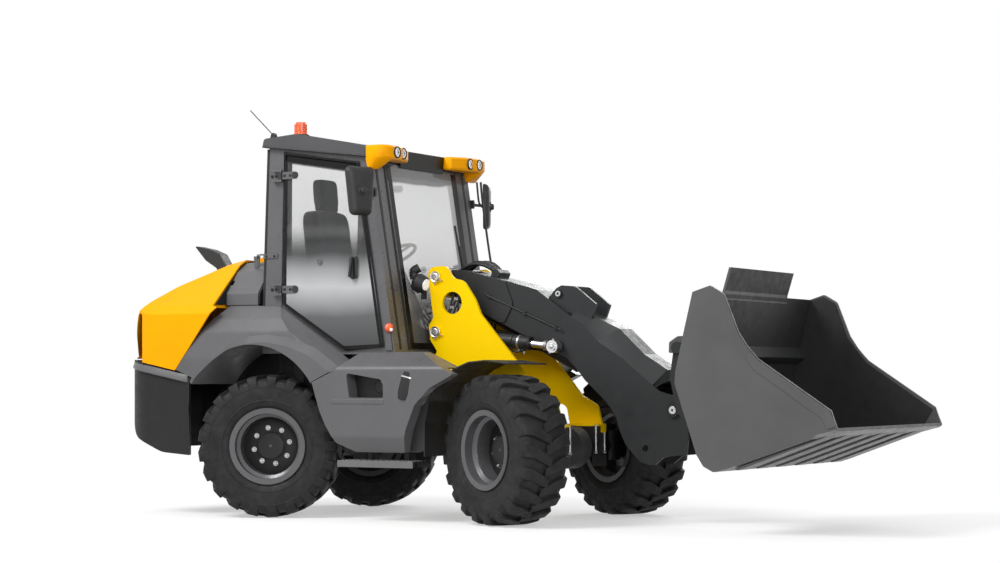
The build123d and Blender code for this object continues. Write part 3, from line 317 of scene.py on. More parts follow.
class Piece:
    """One mesh put together from plates, bars, turned rings and tubes, then made to ride on a body."""

    def __init__(self):
        self.bm = bmesh.new()

    def grid(self, rings, closed=True):
        """Skin over rings of points. closed: "loop" joins the last ring to the first, False leaves rings open."""
        made = [[self.bm.verts.new(p) for p in ring] for ring in rings]
        count = len(made[0])
        pairs = list(zip(made, made[1:])) + ([(made[-1], made[0])] if closed == "loop" else [])
        for a, b in pairs:
            for i in range(count if closed else count - 1):
                j = (i + 1) % count
                self.bm.faces.new((a[i], a[j], b[j], b[i]))
        if closed is True:
            self.bm.faces.new(list(reversed(made[0])))
            self.bm.faces.new(made[-1])
        return self

    def plate(self, rows, near, far, plane="xz"):
        """Plate from rows of two coordinates, between near and far on the third, in millimetres."""
        order = {"xz": lambda a, b, c: at(a, c, b), "yz": lambda a, b, c: at(c, a, b), "xy": at}[plane]
        return self.grid([[order(a, b, c) for a, b in rows] for c in (near, far)])

    def slab(self, x, y, z):
        """Block between two places on each axis."""
        return self.plate(((x[0], y[0]), (x[1], y[0]), (x[1], y[1]), (x[0], y[1])), z[0], z[1], "xy")

    def layers(self, rows, cuts, place, steps=5):
        """Block with shaped edges: the outline inset by cut at each depth, place giving a point's spot."""
        return self.grid([[place(p.x, p.y, depth) for p in rounded(inset(rows, cut), steps)] for depth, cut in cuts])

    def turned(self, rows, centre, direction, steps=48, loop=True):
        """Ring turned about an axis: rows of (distance along it, radius) in millimetres, a closed section."""
        axis, side, up = axes(direction)
        middle = at(*centre)
        made = [[self.bm.verts.new(middle + axis * s / 1000 + (side * math.cos(a) + up * math.sin(a)) * r / 1000)
                 for s, r in rows] for a in angles(steps)]
        for a, b in zip(made, made[1:] + made[:1]):
            for i in range(len(rows) if loop else len(rows) - 1):
                j = (i + 1) % len(rows)
                self.bm.faces.new((a[i], a[j], b[j], b[i]))
        return self

    def lathe(self, rows, centre, direction, steps):
        """Solid turned about an axis, from rows as for a ring; those on the axis stay a hair off it."""
        return self.turned([(s, max(r, 0.01)) for s, r in rows], centre, direction, steps, loop=False)

    def tube(self, points, radius, steps=6, sides=12):
        """Round tube through points given in millimetres."""
        line = smooth_line([at(*p) for p in points], steps)
        up = Vector((0, 0, 1))
        rings = []
        for i, p in enumerate(line):
            ahead = (line[min(i + 1, len(line) - 1)] - line[max(i - 1, 0)]).normalized()
            across = ahead.cross(up)
            if across.length < 0.05:
                across = ahead.cross(Vector((0, 1, 0)))
            across.normalize()
            if rings and across.dot(last) < 0:
                across = -across
            last = across
            rise = across.cross(ahead)
            rings.append([p + (across * math.cos(a) + rise * math.sin(a)) * radius / 1000 for a in angles(sides)])
        return self.grid(rings)

    def hexagon(self, across, thick, centre, direction):
        """Hexagonal bolt head or nut with a chamfered end."""
        axis, side, up = axes(direction)
        middle = at(*centre)
        rows = ((0, across / 2), (thick * 0.8, across / 2), (thick, across * 0.42))
        return self.grid([[middle + axis * s / 1000 + (side * math.cos(a) + up * math.sin(a)) * r / 1000
                           for a in angles(6)] for s, r in rows])

    def mirrored(self):
        """Add the same shapes on the other side of the machine."""
        copy = bmesh.ops.duplicate(self.bm, geom=self.bm.verts[:] + self.bm.edges[:] + self.bm.faces[:])
        verts = [g for g in copy["geom"] if isinstance(g, bmesh.types.BMVert)]
        faces = [g for g in copy["geom"] if isinstance(g, bmesh.types.BMFace)]
        for v in verts:
            v.co.y = -v.co.y
        bmesh.ops.reverse_faces(self.bm, faces=faces)
        return self

    def done(self, name, material, body="chassis", bevel=0.0, angle=35, place=None):
        """Make the object, with its material and softened edges, riding on a body."""
        bmesh.ops.recalc_face_normals(self.bm, faces=self.bm.faces[:])
        if place is not None:
            bmesh.ops.transform(self.bm, matrix=place, verts=self.bm.verts[:])
        mesh = bpy.data.meshes.new(name)
        self.bm.to_mesh(mesh)
        self.bm.free()
        obj = bpy.data.objects.new(name, mesh)
        scene.collection.objects.link(obj)
        mesh.materials.append(material)
        mesh.shade_smooth()
        mesh.set_sharp_from_angle(angle=math.radians(angle))
        if bevel:
            b = obj.modifiers.new("edges", "BEVEL")
            b.width = bevel / 1000
            b.segments = 2
            b.limit_method = "ANGLE"
            b.angle_limit = math.radians(40)
            b.harden_normals = True
        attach(obj, body)
        return obj


def span(side, a, b):
    """Two distances out on one side of the machine, the lower y first."""
    return sorted((side * a, side * b))


def dress(material, *starts):
    """Give a material to every CAD node whose name starts so."""
    for name, node in nodes.items():
        if name.startswith(starts):
            for slot in node.material_slots:
                slot.material = material


HANDS = (("left", 1), ("right", -1))
LEFT = (0, 1, 0)
AXLE, KINGPIN, PARKED = 1090, 656, 25  # axles and kingpins from the middle, steering at rest
# axle's x, kingpin's y, steering angle and outboard side of each wheel
corners = {f"{end}_{hand}": (way * AXLE, side * KINGPIN, -way * PARKED, side)
           for end, way in (("front", 1), ("rear", -1)) for hand, side in HANDS}

dress(yellow_paint, "front_frame")
dress(yellow_moulding, "engine_hood", "lamp_pod")
dress(grey_moulding, "rear_fender", "step_panel", "cowl")
dress(roof_panel, "cab_roof")
dress(grey_paint, "cab_frame", "door_hinges")
dress(cast_paint, "counterweight")
dress(dark_paint, "boom", "hitch", "lift_barrel", "tilt_barrel")
dress(bucket_paint, "bucket")
dress(black_steel, "rear_frame", "low_step", "door_frame", "levelling_pin")
dress(black_moulding, "mudguard", "mirror", "antenna", "exhaust", "door_handle", "steering_column")
dress(castings, "front_axle", "rear_axle", "engine_block", "knuckle")
dress(chrome, "lift_rod", "tilt_rod")
dress(wheel_paint, "rim")
dress(screen_pane, "windscreen")
dress(rear_pane, "rear_window")
dress(door_pane, "door_glass_right")
dress(clear_pane, "door_glass_left")
dress(orange, "beacon")
dress(seat_cloth, "seat")
dress(tyre_rubber, "tyre")

# ---- tyres: carcass and chevron lugs
LUGS = 21  # on each half of the tread
CARCASS_STEPS = 126
TREAD_MIDDLE = 169  # of the tread, outboard of the kingpin
NUTS, NUT_CIRCLE = 8, 137.5
# distance from the tyre's middle plane, radius
carcass = [(0, 511), (70, 510), (130, 507), (165, 501), (184, 490), (195, 470), (199, 448), (201.5, 446), (201.5, 440),
           (200, 438), (201, 410), (200.5, 385), (197, 350), (198.5, 347), (198.5, 341), (195, 338), (190, 318),
           (183, 303), (177, 296), (174, 288), (174, 262)]
# distance out from the middle plane, top radius, foot radius, half width, skew along the tread
lug_rows = [(-22, 537, 500, 27, 74), (-10, 537.5, 500, 35, 70), (30, 537.5, 500, 39, 50), (75, 537.5, 500, 41, 27),
            (115, 537, 498, 42, 7), (140, 535, 494, 42, 0), (176, 529, 484, 40, -2), (190, 520, 474, 38, -3),
            (200, 496, 462, 34, -3), (202.5, 462, 446, 29, -3)]


def around(radius, angle, out):
    return Vector((radius * math.cos(angle), out, radius * math.sin(angle))) / 1000


for corner, (x, y, steer, side) in corners.items():
    place = Matrix.Translation(at(x, y, TYRE_RADIUS)) @ Matrix.Rotation(math.radians(steer), 4, "Z")
    middle = TREAD_MIDDLE * side
    piece = Piece()
    outer = [(-w, r) for w, r in reversed(carcass[1:])] + carcass
    inner = [(150, 262), (165, 400), (140, 470), (0, 476), (-140, 470), (-165, 400), (-150, 262)]
    piece.grid([[around(r, a, middle + w) for w, r in outer + inner] for a in angles(CARCASS_STEPS)], closed="loop")
    for hand in (-1, 1):
        for k in range(LUGS):
            centre = 2 * math.pi * (k + (0.5 if hand > 0 else 0)) / LUGS
            stations = []
            for w, top, foot, half, skew in lug_rows:
                section = ((-half - 7, foot), (-half, top - 4), (-half + 4, top), (half - 4, top), (half, top - 4),
                           (half + 7, foot))
                stations.append([around(radius, centre + (offset - skew) / TYRE_RADIUS, middle + hand * w)
                                 for offset, radius in section])
            piece.grid(stations)
    tyre = piece.done(f"treaded_tyre_{corner}", tyre_rubber, f"wheel_{corner}", angle=28, place=place)
    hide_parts(f"tyre_{corner}")

    # wheel face, hub, nuts and valve; local y runs outboard
    def local(px, py, pz):
        return (px + SHIFT, side * py, pz)

    out = (0, side, 0)
    face = Piece().turned(((0, 97), (2.5, 97), (2.5, 214), (0, 218)), local(0, 157.2, 0), out, 64)
    face.turned(((0, 60), (26, 60), (40, 92), (44, 97), (60.5, 97), (62, 92), (62, 10), (0, 10)), local(0, 157, 0), out)
    for k in range(6):
        a = math.radians(60 * k + 20)
        face.turned(((0, 9), (2.5, 9), (2.5, 17), (0, 17)), local(58 * math.cos(a), 217.5, 58 * math.sin(a)), out, 16)
    # disc, hub and bolts in the darker copy of the wheel paint: painted shade inside the rim
    face.done(f"wheel_face_{corner}", wheel_dark, f"wheel_{corner}", bevel=0.6, place=place)
    nuts = Piece()
    for k in range(NUTS):
        a = math.radians(360 / NUTS * k + 12)
        spot = local(NUT_CIRCLE * math.cos(a), 159, NUT_CIRCLE * math.sin(a))
        nuts.turned(((0, 10), (5, 10), (5, 19), (0, 20)), spot, out, 20)
        nuts.hexagon(30, 22, spot, out)
        nuts.lathe(((0, 0), (0, 6.8), (1.2, 8), (28.8, 8), (30, 6.8), (30, 0)), spot, out, 12)
    nuts.done(f"wheel_nuts_{corner}", zinc, f"wheel_{corner}", place=place)
    valve = Piece().tube([local(-226, 110, 30), local(-214, 150, 32), local(-205, 168, 30)], 5, sides=8)
    valve.done(f"valve_{corner}", black_moulding, f"wheel_{corner}", place=place)


# ---- outlines
def rounded(rows, steps=5):
    """Corner points of rows (a, b, radius), every corner drawn as a small arc."""
    points = []
    for i, row in enumerate(rows):
        p = Vector(row[:2])
        before = (Vector(rows[i - 1][:2]) - p).normalized()
        after = (Vector(rows[(i + 1) % len(rows)][:2]) - p).normalized()
        half = before.angle(after) / 2
        radius = max(row[2] if len(row) > 2 else 0, 0.5)
        back = radius / math.tan(half)
        centre = p + (before + after).normalized() * (radius / math.sin(half))
        start, end = p + before * back - centre, p + after * back - centre
        turn = start.angle_signed(end)
        for k in range(steps + 1):
            a = -turn * k / steps
            points.append(centre + Vector((start.x * math.cos(a) - start.y * math.sin(a),
                                           start.x * math.sin(a) + start.y * math.cos(a))))
    return points


def inset(rows, depth):
    """The same outline with each side moved inwards by depth."""
    area = sum(a[0] * b[1] - b[0] * a[1] for a, b in zip(rows, rows[1:] + rows[:1]))
    depth = depth if area > 0 else -depth
    lines = []
    for a, b in zip(rows, rows[1:] + rows[:1]):
        run = (Vector(b[:2]) - Vector(a[:2])).normalized()
        lines.append((Vector(a[:2]) + Vector((-run.y, run.x)) * depth, run))
    made = []
    for i, row in enumerate(rows):
        (p, u), (q, v) = lines[i - 1], lines[i]
        cross = u.x * v.y - u.y * v.x
        t = ((q - p).x * v.y - (q - p).y * v.x) / cross
        spot = p + u * t
        made.append((spot.x, spot.y, max(row[2] - abs(depth), 3)))
    return made


def line_at(line, t):
    """Value at t of the straight line through two points (t, value), carried on past both."""
    (t0, v0), (t1, v1) = line
    return v0 + (v1 - v0) * (t - t0) / (t1 - t0)


def on_line(rows, t):
    """Value at t of a broken line of points (t, value)."""
    for a, b in zip(rows, rows[1:]):
        if min(a[0], b[0]) <= t <= max(a[0], b[0]):
            return line_at((a, b), t)
    return rows[-1][1]


def frame_piece(rows, outer, inner, near, far):
    """Frame that follows an outline, between two insets of it."""
    out_line, in_line = rounded(inset(rows, outer)), rounded(inset(rows, inner))
    corner_lines = (out_line, near), (out_line, far), (in_line, far), (in_line, near)
    return Piece().grid([[at(p.x, c, p.y) for p in line] for line, c in corner_lines], closed="loop")


def pillow(centre, half, power=4.5, cuts=11, seams=(), lean=0.0, crown=0.0, groove=0.012):
    """Padded form: a soft-cornered block with sewn grooves across it. seams are (axis, place) in -1..1."""
    piece = Piece()
    bmesh.ops.create_cube(piece.bm, size=2)
    bmesh.ops.subdivide_edges(piece.bm, edges=piece.bm.edges[:], cuts=cuts, use_grid_fill=True)
    for v in piece.bm.verts:
        p = v.co.copy()
        length = sum(abs(c) ** power for c in p) ** (1 / power)
        q = Vector([c / length for c in p])
        sunk = sum(math.exp(-((q[axis] - place) / 0.05) ** 2) for axis, place in seams)
        puff = 1 + crown * (1 - q.x * q.x) * (1 - q.y * q.y)
        spot = Vector((q.x * half[0], q.y * half[1], q.z * half[2] * (puff if half[2] < half[0] else 1)))
        if half[0] <= half[2]:
            spot.x *= 1 + crown * (1 - q.y * q.y) * (1 - q.z * q.z)
        spot -= q.normalized() * sunk * groove * 1000
        spot.x += lean * spot.z
        v.co = at(centre[0] + spot.x, centre[1] + spot.y, centre[2] + spot.z)
    return piece


# ---- cab: lamp pods, band, mirrors, seals
CAB_FACE = ((1235, 25), (2690, -210))  # height and x, at its foot and at its top
HEADER_FOOT = 2640  # lower edge of the band over the windscreen


def face_x(z, out=0.0):
    """x of the cab's sloping front face at height z, moved out of it."""
    return line_at(CAB_FACE, z) + out


def on_face(*spots):
    """Places (x, z) from heights with their distance out of the cab's front face."""
    return [(face_x(z, out), z) for z, out in spots]


LAMP_LINE = 2726  # height of the roof lamps' middles
# y, height of the foot, height of the top, how far the front is drawn back
POD_STATIONS = ((306, 2684, 2764, 26), (316, 2674, 2774, 4), (430, 2672, 2776, 0), (560, 2672, 2776, 0),
                (632, 2670, 2776, 0), (652, 2604, 2776, 0), (690, 2600, 2776, 0), (740, 2600, 2776, 0),
                (766, 2612, 2774, 4), (780, 2660, 2766, 20))
POD_FRONT = ((300, -112), (430, -58), (560, -22), (690, -30), (750, -62), (782, -122))
for hand, side in HANDS:
    pod = Piece()
    rings = []
    for y, low, top, shy in POD_STATIONS:
        front, back = on_line(POD_FRONT, y) - shy, -189.4
        if low < HEADER_FOOT:
            foot = min(front - 14, face_x(low, 16) + 34)
            ring = [(face_x(low, 10), low + 8), (face_x(low, 18), low)]
        else:
            foot = back + 22
            ring = [(back, low + 12), (back + 12, low)]
        ring += [(foot, low), (front - 14, max(low, 2672)), (front, 2688), (front, top - 14), (front - 14, top),
                 (back, top)]
        rings.append([at(x, side * y, z) for x, z in ring])
    pod.grid(rings)
    shell = pod.done(f"lamp_shell_{hand}", yellow_moulding, bevel=5)
    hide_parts(f"lamp_pod_{hand}")
    rims, lenses, bowls = Piece(), Piece(), Piece()
    for y in (492, 602):
        x = on_line(POD_FRONT, y) - 3
        spot = (x, side * y, LAMP_LINE)
        rims.turned(((0, 34), (9, 35), (11, 38), (9, 43), (0, 45)), spot, (1, 0, 0), 40)
        lenses.lathe(((0, 35), (4, 34), (7, 26), (8.5, 14), (9, 0)), spot, (1, 0, 0), 40)
        for a in (0, 1.05, 2.1):
            over, up = 30 * math.cos(a), 30 * math.sin(a)
            bowls.tube([(x + 9.5, side * y + over, LAMP_LINE + up), (x + 11.5, side * y, LAMP_LINE),
                        (x + 9.5, side * y - over, LAMP_LINE - up)], 1.6, 3, 6)
    rims.done(f"lamp_rims_{hand}", rubber_seal)
    lenses.done(f"lamp_lenses_{hand}", clear)
    bowls.done(f"lamp_ribs_{hand}", black_moulding)

    # mirror: tapered shell, glass, knob and arm
    turn = math.radians(25.5)
    across = Vector((math.sin(turn), -side * math.cos(turn), 0))
    inward = Vector((-math.cos(turn), -side * math.sin(turn), 0))
    origin = Vector((-147, side * 917, 2422))
    face = [(-128, 180, 40), (124, 180, 40), (96, -180, 45), (-84, -180, 45)]

    def on_mirror(a, b, depth):
        return at(*(origin + across * a + Vector((0, 0, b)) + inward * depth))

    shell = Piece()
    shell.layers(face, ((12, 9), (16, 8), (18, 4), (16, 1), (8, 0.1), (-8, 3), (-22, 12), (-30, 26), (-34, 48)),
                 on_mirror, 6)
    spot = origin + inward * -33
    shell.lathe(((0, 0), (0, 38), (6, 40), (8, 36), (8, 26), (24, 24), (30, 18), (31, 0)), spot, -inward, 32)
    tip = origin + inward * -52
    shell.tube([tip, (tip.x - 8, side * 860, 2424), (-150, side * 780, 2426), (-166, side * 712, 2428)], 12)
    shell.slab((-196, -140), span(side, 704, 722), (2395, 2462))
    shell.tube([(-168, side * 735, 2405), (-166, side * 735, 2450)], 19, 1, 14)
    shell = shell.done(f"mirror_shell_{hand}", black_moulding, bevel=1.5)
    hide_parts(f"mirror_{hand}")
    Piece().layers(face, ((12.5, 11), (15.5, 11)), on_mirror, 6).done(f"mirror_pane_{hand}", mirror)

band_section = on_face((HEADER_FOOT, 12), (HEADER_FOOT, 19)) + [(-176, 2692), (-170, 2770), (-188, 2774), (-189, 2700)]
band = Piece().plate(band_section, -312, 312)
band.done("header_band", frit, bevel=2)

screen_edge = Piece()
for y0, y1 in ((440, 492), (-492, -440)):
    screen_edge.plate(on_face((1272, 8.8), (2648, 8.8), (2648, 10), (1272, 10)), y0, y1)
screen_edge.plate(on_face((1266, 8.8), (1312, 8.8), (1312, 10), (1266, 10)), -492, 492)
screen_edge.done("screen_border", frit)

wiper = Piece().tube([(face_x(z, 26), y, z) for y, z in ((446, 1340), (428, 1700), (400, 2080))], 7, 6, 8)
wiper.tube([(face_x(z, 16), y, z) for y, z in ((436, 1600), (414, 1900), (388, 2240))], 8, 6, 8)
wiper.lathe(((0, 0), (0, 24), (24, 22), (30, 0)), (face_x(1335, 9), 446, 1335), (1, 0, 0.16), 24)
wiper.done("wiper", black_moulding)

# seals, gutters and pillar strips, both sides
ROOF_EDGE = ((-210, 2690), (-1125, 2800))  # x and height of two points on the door opening's top edge
seals = Piece().tube([(x, 749, line_at(ROOF_EDGE, x) + 6) for x in (-1148, -800, -500, -192)], 5, 4, 8)
seals.plate(((-1172, 1545), (-1125, 2792), (-1105, 2790), (-1152, 1545)), 712.2, 715)
seals.tube([(-985, 722, 1560), (-975, 722, 2200), (-962, 722, 2762), (-290, 722, 2662), (-200, 722, 2100),
            (-70, 722, 1285)], 5, 1, 8)
seals.tube([(-70, 722, 1283), (-415, 724, 1256), (-700, 722, 1428), (-985, 722, 1603)], 6, 1, 8)
seals.plate(((-1488, 1602), (-1196, 1602), (-1196, 1608), (-1488, 1608)), 744, 753)
seals.mirrored().done("cab_seals", rubber_seal)

pillars = Piece().plate(on_face((1260, -6), (2660, -6), (2660, 3), (1260, 3)), 612, 640)
pillars.plate(on_face((1260, 0), (2660, 0), (2660, 7), (1260, 7)), 498, 520)
pillars.mirrored().done("front_pillar_trim", rubber_seal, bevel=2)

rails = Piece().tube([(-70, 700, 2602), (-62, 716, 2440), (-10, 716, 2100), (50, 712, 1760), (66, 700, 1560)], 9, 5, 10)
rails.tube([(-100, 690, 2602), (-92, 704, 2460), (-78, 712, 2420), (-58, 716, 2400)], 8, 5, 10)
rails.tube([(66, 700, 1640), (20, 690, 1640), (-28, 660, 1600)], 8, 4, 10)
rails.done("mirror_rails", black_moulding)

# door borders, shades, hinges, knobs and latches
for hand, side in HANDS:
    out = (0, side, 0)
    rows = [(-956, 2764, 30), (-284, 2664, 30), (-63, 1271, 40), (-418, 1258, 60), (-965, 1596, 40)]
    near, far = span(side, 736.5, 737.4)
    frame_piece(rows, 7, 30, near, far).done(f"door_border_{hand}", frit, f"door_{hand}", angle=60)
    top = Piece().plate([(-940, 2738), (-300, 2644), (-306, 2596), (-350, 2600), (-935, 2690)], near, far)
    top.done(f"door_shade_{hand}", frit, f"door_{hand}")
    bolts, knuckles, fixed = Piece(), Piece(), Piece()
    for z in (2582, 1720):
        for x in (-945, -893):
            bolts.lathe(((0, 0), (0, 11), (4, 10), (6, 5), (6, 0)), (x, side * 744.8, z), out, 20)
        knuckles.tube([(-985, side * 745, z - 27), (-985, side * 745, z + 27)], 18, 1, 20)
        knuckles.lathe(((0, 0), (0, 28), (8.6, 26), (9, 0)), (-852, side * 736.8, z), out, 32)
        fixed.lathe(((0, 0), (0, 12), (5, 11), (7, 5), (7, 0)), (-1040, side * 720.5, z), out, 20)
        fixed.lathe(((0, 0), (0, 13), (5, 12), (5, 0)), (-1082, side * 712.2, z), out, 20)
    bolts.done(f"hinge_bolts_{hand}", black_steel, f"door_{hand}")
    knuckles.done(f"hinge_knuckles_{hand}", black_moulding, f"door_{hand}", bevel=1)
    fixed.done(f"hinge_fixings_{hand}", black_steel)
    spot = (-627, side * 736.8, 1920)
    knob = Piece().turned(((0, 18), (4, 19), (4, 25), (0, 26)), spot, out, 32)
    knob.lathe(((0, 0), (0, 13), (7, 11), (8, 0)), spot, out, 24)
    knob.done(f"door_knob_{hand}", step_steel, f"door_{hand}")
    latch = Piece().layers([(-352, 1955, 30), (-283, 1955, 30), (-283, 1785, 30), (-352, 1785, 30)],
                           ((749, 0.1), (755, 1), (760, 6)), lambda x, z, y: at(x, side * y, z))
    latch.tube([(-318, side * 778, 1945), (-322, side * 786, 1880), (-334, side * 780, 1800)], 10, 5)
    latch.done(f"door_latch_{hand}", black_moulding, f"door_{hand}", bevel=1.5)

# turn lamps at the foot of the front pillars, driving lamps beside the tower
for hand, side in HANDS:
    ball, glance = (-30, side * 716, 1420), (0.7, side * 0.7, 0)
    beam, ahead = (72, side * 352, 1748), (1, side * 0.08, -0.22)
    lamp_foot = Piece()
    lamp_foot.plate(((-52, 1252), (6, 1252), (2, 1300), (-14, 1388), (-40, 1388), (-54, 1330)), *span(side, 700, 724))
    lamp_foot.turned(((0, 30), (16, 36), (18, 33), (18, 26), (0, 20)), ball, glance, 32)
    lamp_foot.done(f"turn_lamp_foot_{hand}", grey_paint, bevel=2)
    glass_ball = Piece().lathe(((10, 32), (22, 33), (34, 28), (43, 18), (47, 8), (48, 0)), ball, glance, 36)
    glass_ball.done(f"turn_lamp_{hand}", orange)
    pearl = Piece().lathe(((0, 0), (0, 13), (5, 11), (7, 0)), (8, side * 738, 1406), (0.8, side * 0.6, -0.1), 24)
    pearl.done(f"turn_lamp_window_{hand}", clear)
    bowl = Piece()
    bowl.lathe(((-110, 0), (-108, 30), (-92, 62), (-60, 76), (-22, 66), (-2, 52), (0, 46), (-8, 40), (-10, 0)),
               beam, ahead, 40)
    bowl.tube([(-30, side * 350, 1800), (-40, side * 350, 1850), (0, side * 330, 1880)], 34, 5, 16)
    bowl.slab((30, 62), span(side, 326, 356), (1640, 1720))
    bowl.done(f"driving_lamp_{hand}", black_moulding, bevel=3)
    lens = Piece().lathe(((-4, 44), (4, 42), (9, 30), (11, 14), (11.5, 0)), beam, ahead, 36)
    lens.done(f"driving_lens_{hand}", clear)

# hood stay, roof fittings, beacon foot
stay = Piece().slab((-1160, -1028), (712.4, 722), (1960, 1992))
stay.tube([(-1080, 718, 1988), (-1200, 690, 1992), (-1290, 610, 1993), (-1330, 560, 1990), (-1345, 545, 1900)], 7, 3, 8)
stay.plate(((-1372, 1990), (-1308, 1990), (-1326, 1902), (-1362, 1902)), 548, 556)
stay.mirrored().done("hood_stays", grey_paint, bevel=2)
stay_bolts = Piece()
for x in (-1130, -1056):
    stay_bolts.lathe(((0, 0), (0, 10), (4, 9), (6, 0)), (x, 722, 1976), LEFT, 20)
stay_bolts.mirrored().done("stay_bolts", black_steel)
beacon_foot = Piece()
beacon_foot.lathe(((-10, 0), (-10, 66), (26, 66), (30, 60), (30, 30), (20, 0)), (-930, -550, 2880), (0, 0, 1), 48)
for z in (2930, 2945, 2960, 2975):
    beacon_foot.turned(((-1.2, 51), (0, 53.4), (1.2, 51)), (-930, -550, z), (0, 0, 1))
beacon_foot.done("beacon_foot", black_moulding)

# bulkhead behind the cowl and seal between cowl and cab
COWL_SECTION = [(745, 1604, 0), (745, 1700, 40), (600, 1870, 50), (480, 1945, 40)]


def both(rows):
    """The left half of an outline with its right half."""
    return rows + [(-y, z, r) for y, z, r in reversed(rows)]


FENDER_SECTION = [(900, 1602, 0), (890, 1612, 0), (556, 1922, 80), (452, 1968, 0)]
bulkhead = Piece().plate(rounded(inset(both(FENDER_SECTION), 12)), -1497, -1489.5, "yz")
bulkhead.plate(rounded(inset(both(COWL_SECTION), 8)), -1191, -1180, "yz")
bulkhead.done("cowl_bulkhead", rubber_seal)

# ---- seat, console and interior
SEAT_Y = -100
cushions = {
    "seat_cushion": pillow((-745, SEAT_Y, 1678), (245, 246, 70), power=6, seams=((1, -0.62), (1, 0.62), (0, 0.1)),
                           crown=0.15),
    "seat_back": pillow((-978, SEAT_Y, 2035), (72, 248, 318), power=7,
                        seams=((1, -0.62), (1, 0.62), (2, 0.25), (2, -0.35)), lean=-0.12, crown=0.2),
    "head_rest": pillow((-1008, SEAT_Y, 2470), (42, 124, 128), power=6.5, seams=((2, -0.6),), lean=-0.08, crown=0.25)}
for name, piece in cushions.items():
    pad = piece.done(name, seat_cloth, angle=180)
    smooth = pad.modifiers.new("smooth", "SUBSURF")
    smooth.levels = smooth.render_levels = 1
    if name == "seat_cushion":
        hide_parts("seat")


def seat_boxes(piece, back, front, half, rows):
    """Skin over boxes round the seat's middle: rows of height and how far each box is drawn in."""
    piece.grid([[at(x, SEAT_Y + y, z) for x, y in ((back + cut, -half + cut), (front - cut, -half + cut),
                                                   (front - cut, half - cut), (back + cut, half - cut))]
                for z, cut in rows])


frame_seat = Piece()
seat_boxes(frame_seat, -930, -600, 190, ((1241, 0), (1262, 0), (1290, 50), (1480, 60), (1540, 10), (1606, 4)))
for k in range(6):
    z = 1320 + 28 * k
    seat_boxes(frame_seat, -900, -630, 160, ((z - 13, 10), (z, -8), (z + 13, 10)))
for y in (-44, 44):
    frame_seat.tube([(-1012, SEAT_Y + y, 2310), (-1016, SEAT_Y + y, 2400)], 7, 1, 10)
for side in (1, -1):
    frame_seat.tube([(-940, SEAT_Y + side * 252, 1640), (-960, SEAT_Y + side * 256, 1760),
                     (-1000, SEAT_Y + side * 250, 1840)], 16, 4)
frame_seat.done("seat_frame", black_moulding, bevel=3)
console = Piece()
console.plate(rounded([(-860, 1242, 5), (-860, 1700, 60), (-620, 1760, 60), (-420, 1740, 60), (-380, 1640, 60),
                       (-470, 1242, 5)]), -640, -400)
console.tube([(-470, -520, 1730), (-462, -520, 1800), (-470, -520, 1850)], 12, 4)
console.lathe(((-6, 0), (0, 20), (30, 26), (70, 28), (96, 20), (104, 0)), (-470, -520, 1838), (-0.1, 0, 1), 24)
console.done("side_console", black_moulding, bevel=8)

# ---- tower and arm
# x and z of the arm's pivot, the lift cylinder's two ends and the hitch pin
PIVOT, LIFT_BASE, LIFT_EYE, HITCH = (143, 1807), (143, 1394), (1100, 1280), (2034, 820)
heads, plates = Piece(), Piece()
for x, z in (PIVOT, LIFT_BASE):
    heads.turned(((0, 11), (4, 12), (4, 24), (2, 28), (0, 28)), (x, 345.2, z), LEFT, 40)
    heads.turned(((-6, 30), (0, 31), (3, 39), (0, 42), (-7.5, 42)), (x, 345.2, z), LEFT, 40)
    heads.lathe(((0, 0), (0, 10), (5, 9), (5, 0)), (x, 345.4, z), LEFT, 24)
    corner_rows = [(x - 14, z - 62, 6), (x + 64, z - 30, 6), (x + 58, z - 14, 6), (x - 20, z - 46, 6)]
    plates.plate(rounded(corner_rows), 325.2, 331)
    for k in (0.12, 0.88):
        heads.hexagon(15, 9, (x - 17 + 78 * k, 331, z - 54 + 32 * k), LEFT)
heads.mirrored().done("tower_pin_heads", zinc)
plates.mirrored().done("tower_pin_plates", yellow_paint, bevel=1)
lines = Piece()
for x0, x1 in ((215, 340), (250, 372), (205, 300), (285, 350)):
    lines.tube([(x0, 292, 1400), (x0 + 30, 292, 1540), (x1 - 30, 292, 1660), (x1, 292, 1790)], 7.5, 6, 10)
lines.mirrored().done("tower_lines", rubber_seal)
blocks = Piece()
for x, z in ((262, 1578), (300, 1640), (240, 1640)):
    blocks.hexagon(26, 14, (x, 284.5, z), LEFT)
    blocks.slab((x - 18, x + 18), (286, 299), (z - 10, z + 10))
blocks.mirrored().done("tower_fittings", steel, bevel=1)
long_bolts = Piece()
for y in (205, 345):
    long_bolts.tube([(1216, y, 500), (1216, y, 703)], 9, 1)
    long_bolts.hexagon(30, 20, (1216, y, 486), (0, 0, 1))
    long_bolts.tube([(962, y, 500), (962, y, 703)], 9, 1)
long_bolts.mirrored().done("axle_bolts", zinc)
Piece().slab((1150, 1228), (296, 352), (640, 706)).mirrored().done("tower_foot_lugs", yellow_paint, bevel=3)

hoses = Piece()
for y, rise in ((-70, 0), (-30, 14), (20, 6), (64, 18)):
    hoses.tube([(160, y, 1800), (205, y, 1862), (300, y, 1905 + rise), (410, y, 1898 + rise), (505, y * 0.8, 1842),
                (560, y * 0.6, 1770), (600, y * 0.5, 1730)], 13, 8, 14)
hoses.done("arm_hoses", rubber_seal, "arm")
clamp = Piece().plate(((476, 1812), (540, 1800), (556, 1838), (528, 1866), (490, 1868)), -84, 84)
clamp.done("hose_clamp", dark_paint, "arm", bevel=4)
pipe = Piece().tube([(486, 176, 1690), (498, 184, 1672), (540, 184, 1650), (800, 174, 1539), (1080, 174, 1420),
                     (1128, 172, 1396), (1140, 168, 1380)], 7, 6, 10)
for x, z in ((520, 1658), (820, 1530), (1080, 1420)):
    pipe.slab((x - 12, x + 12), (165, 188), (z - 14, z + 10))
pipe.mirrored().done("arm_pipes", dark_paint, "arm", bevel=1)
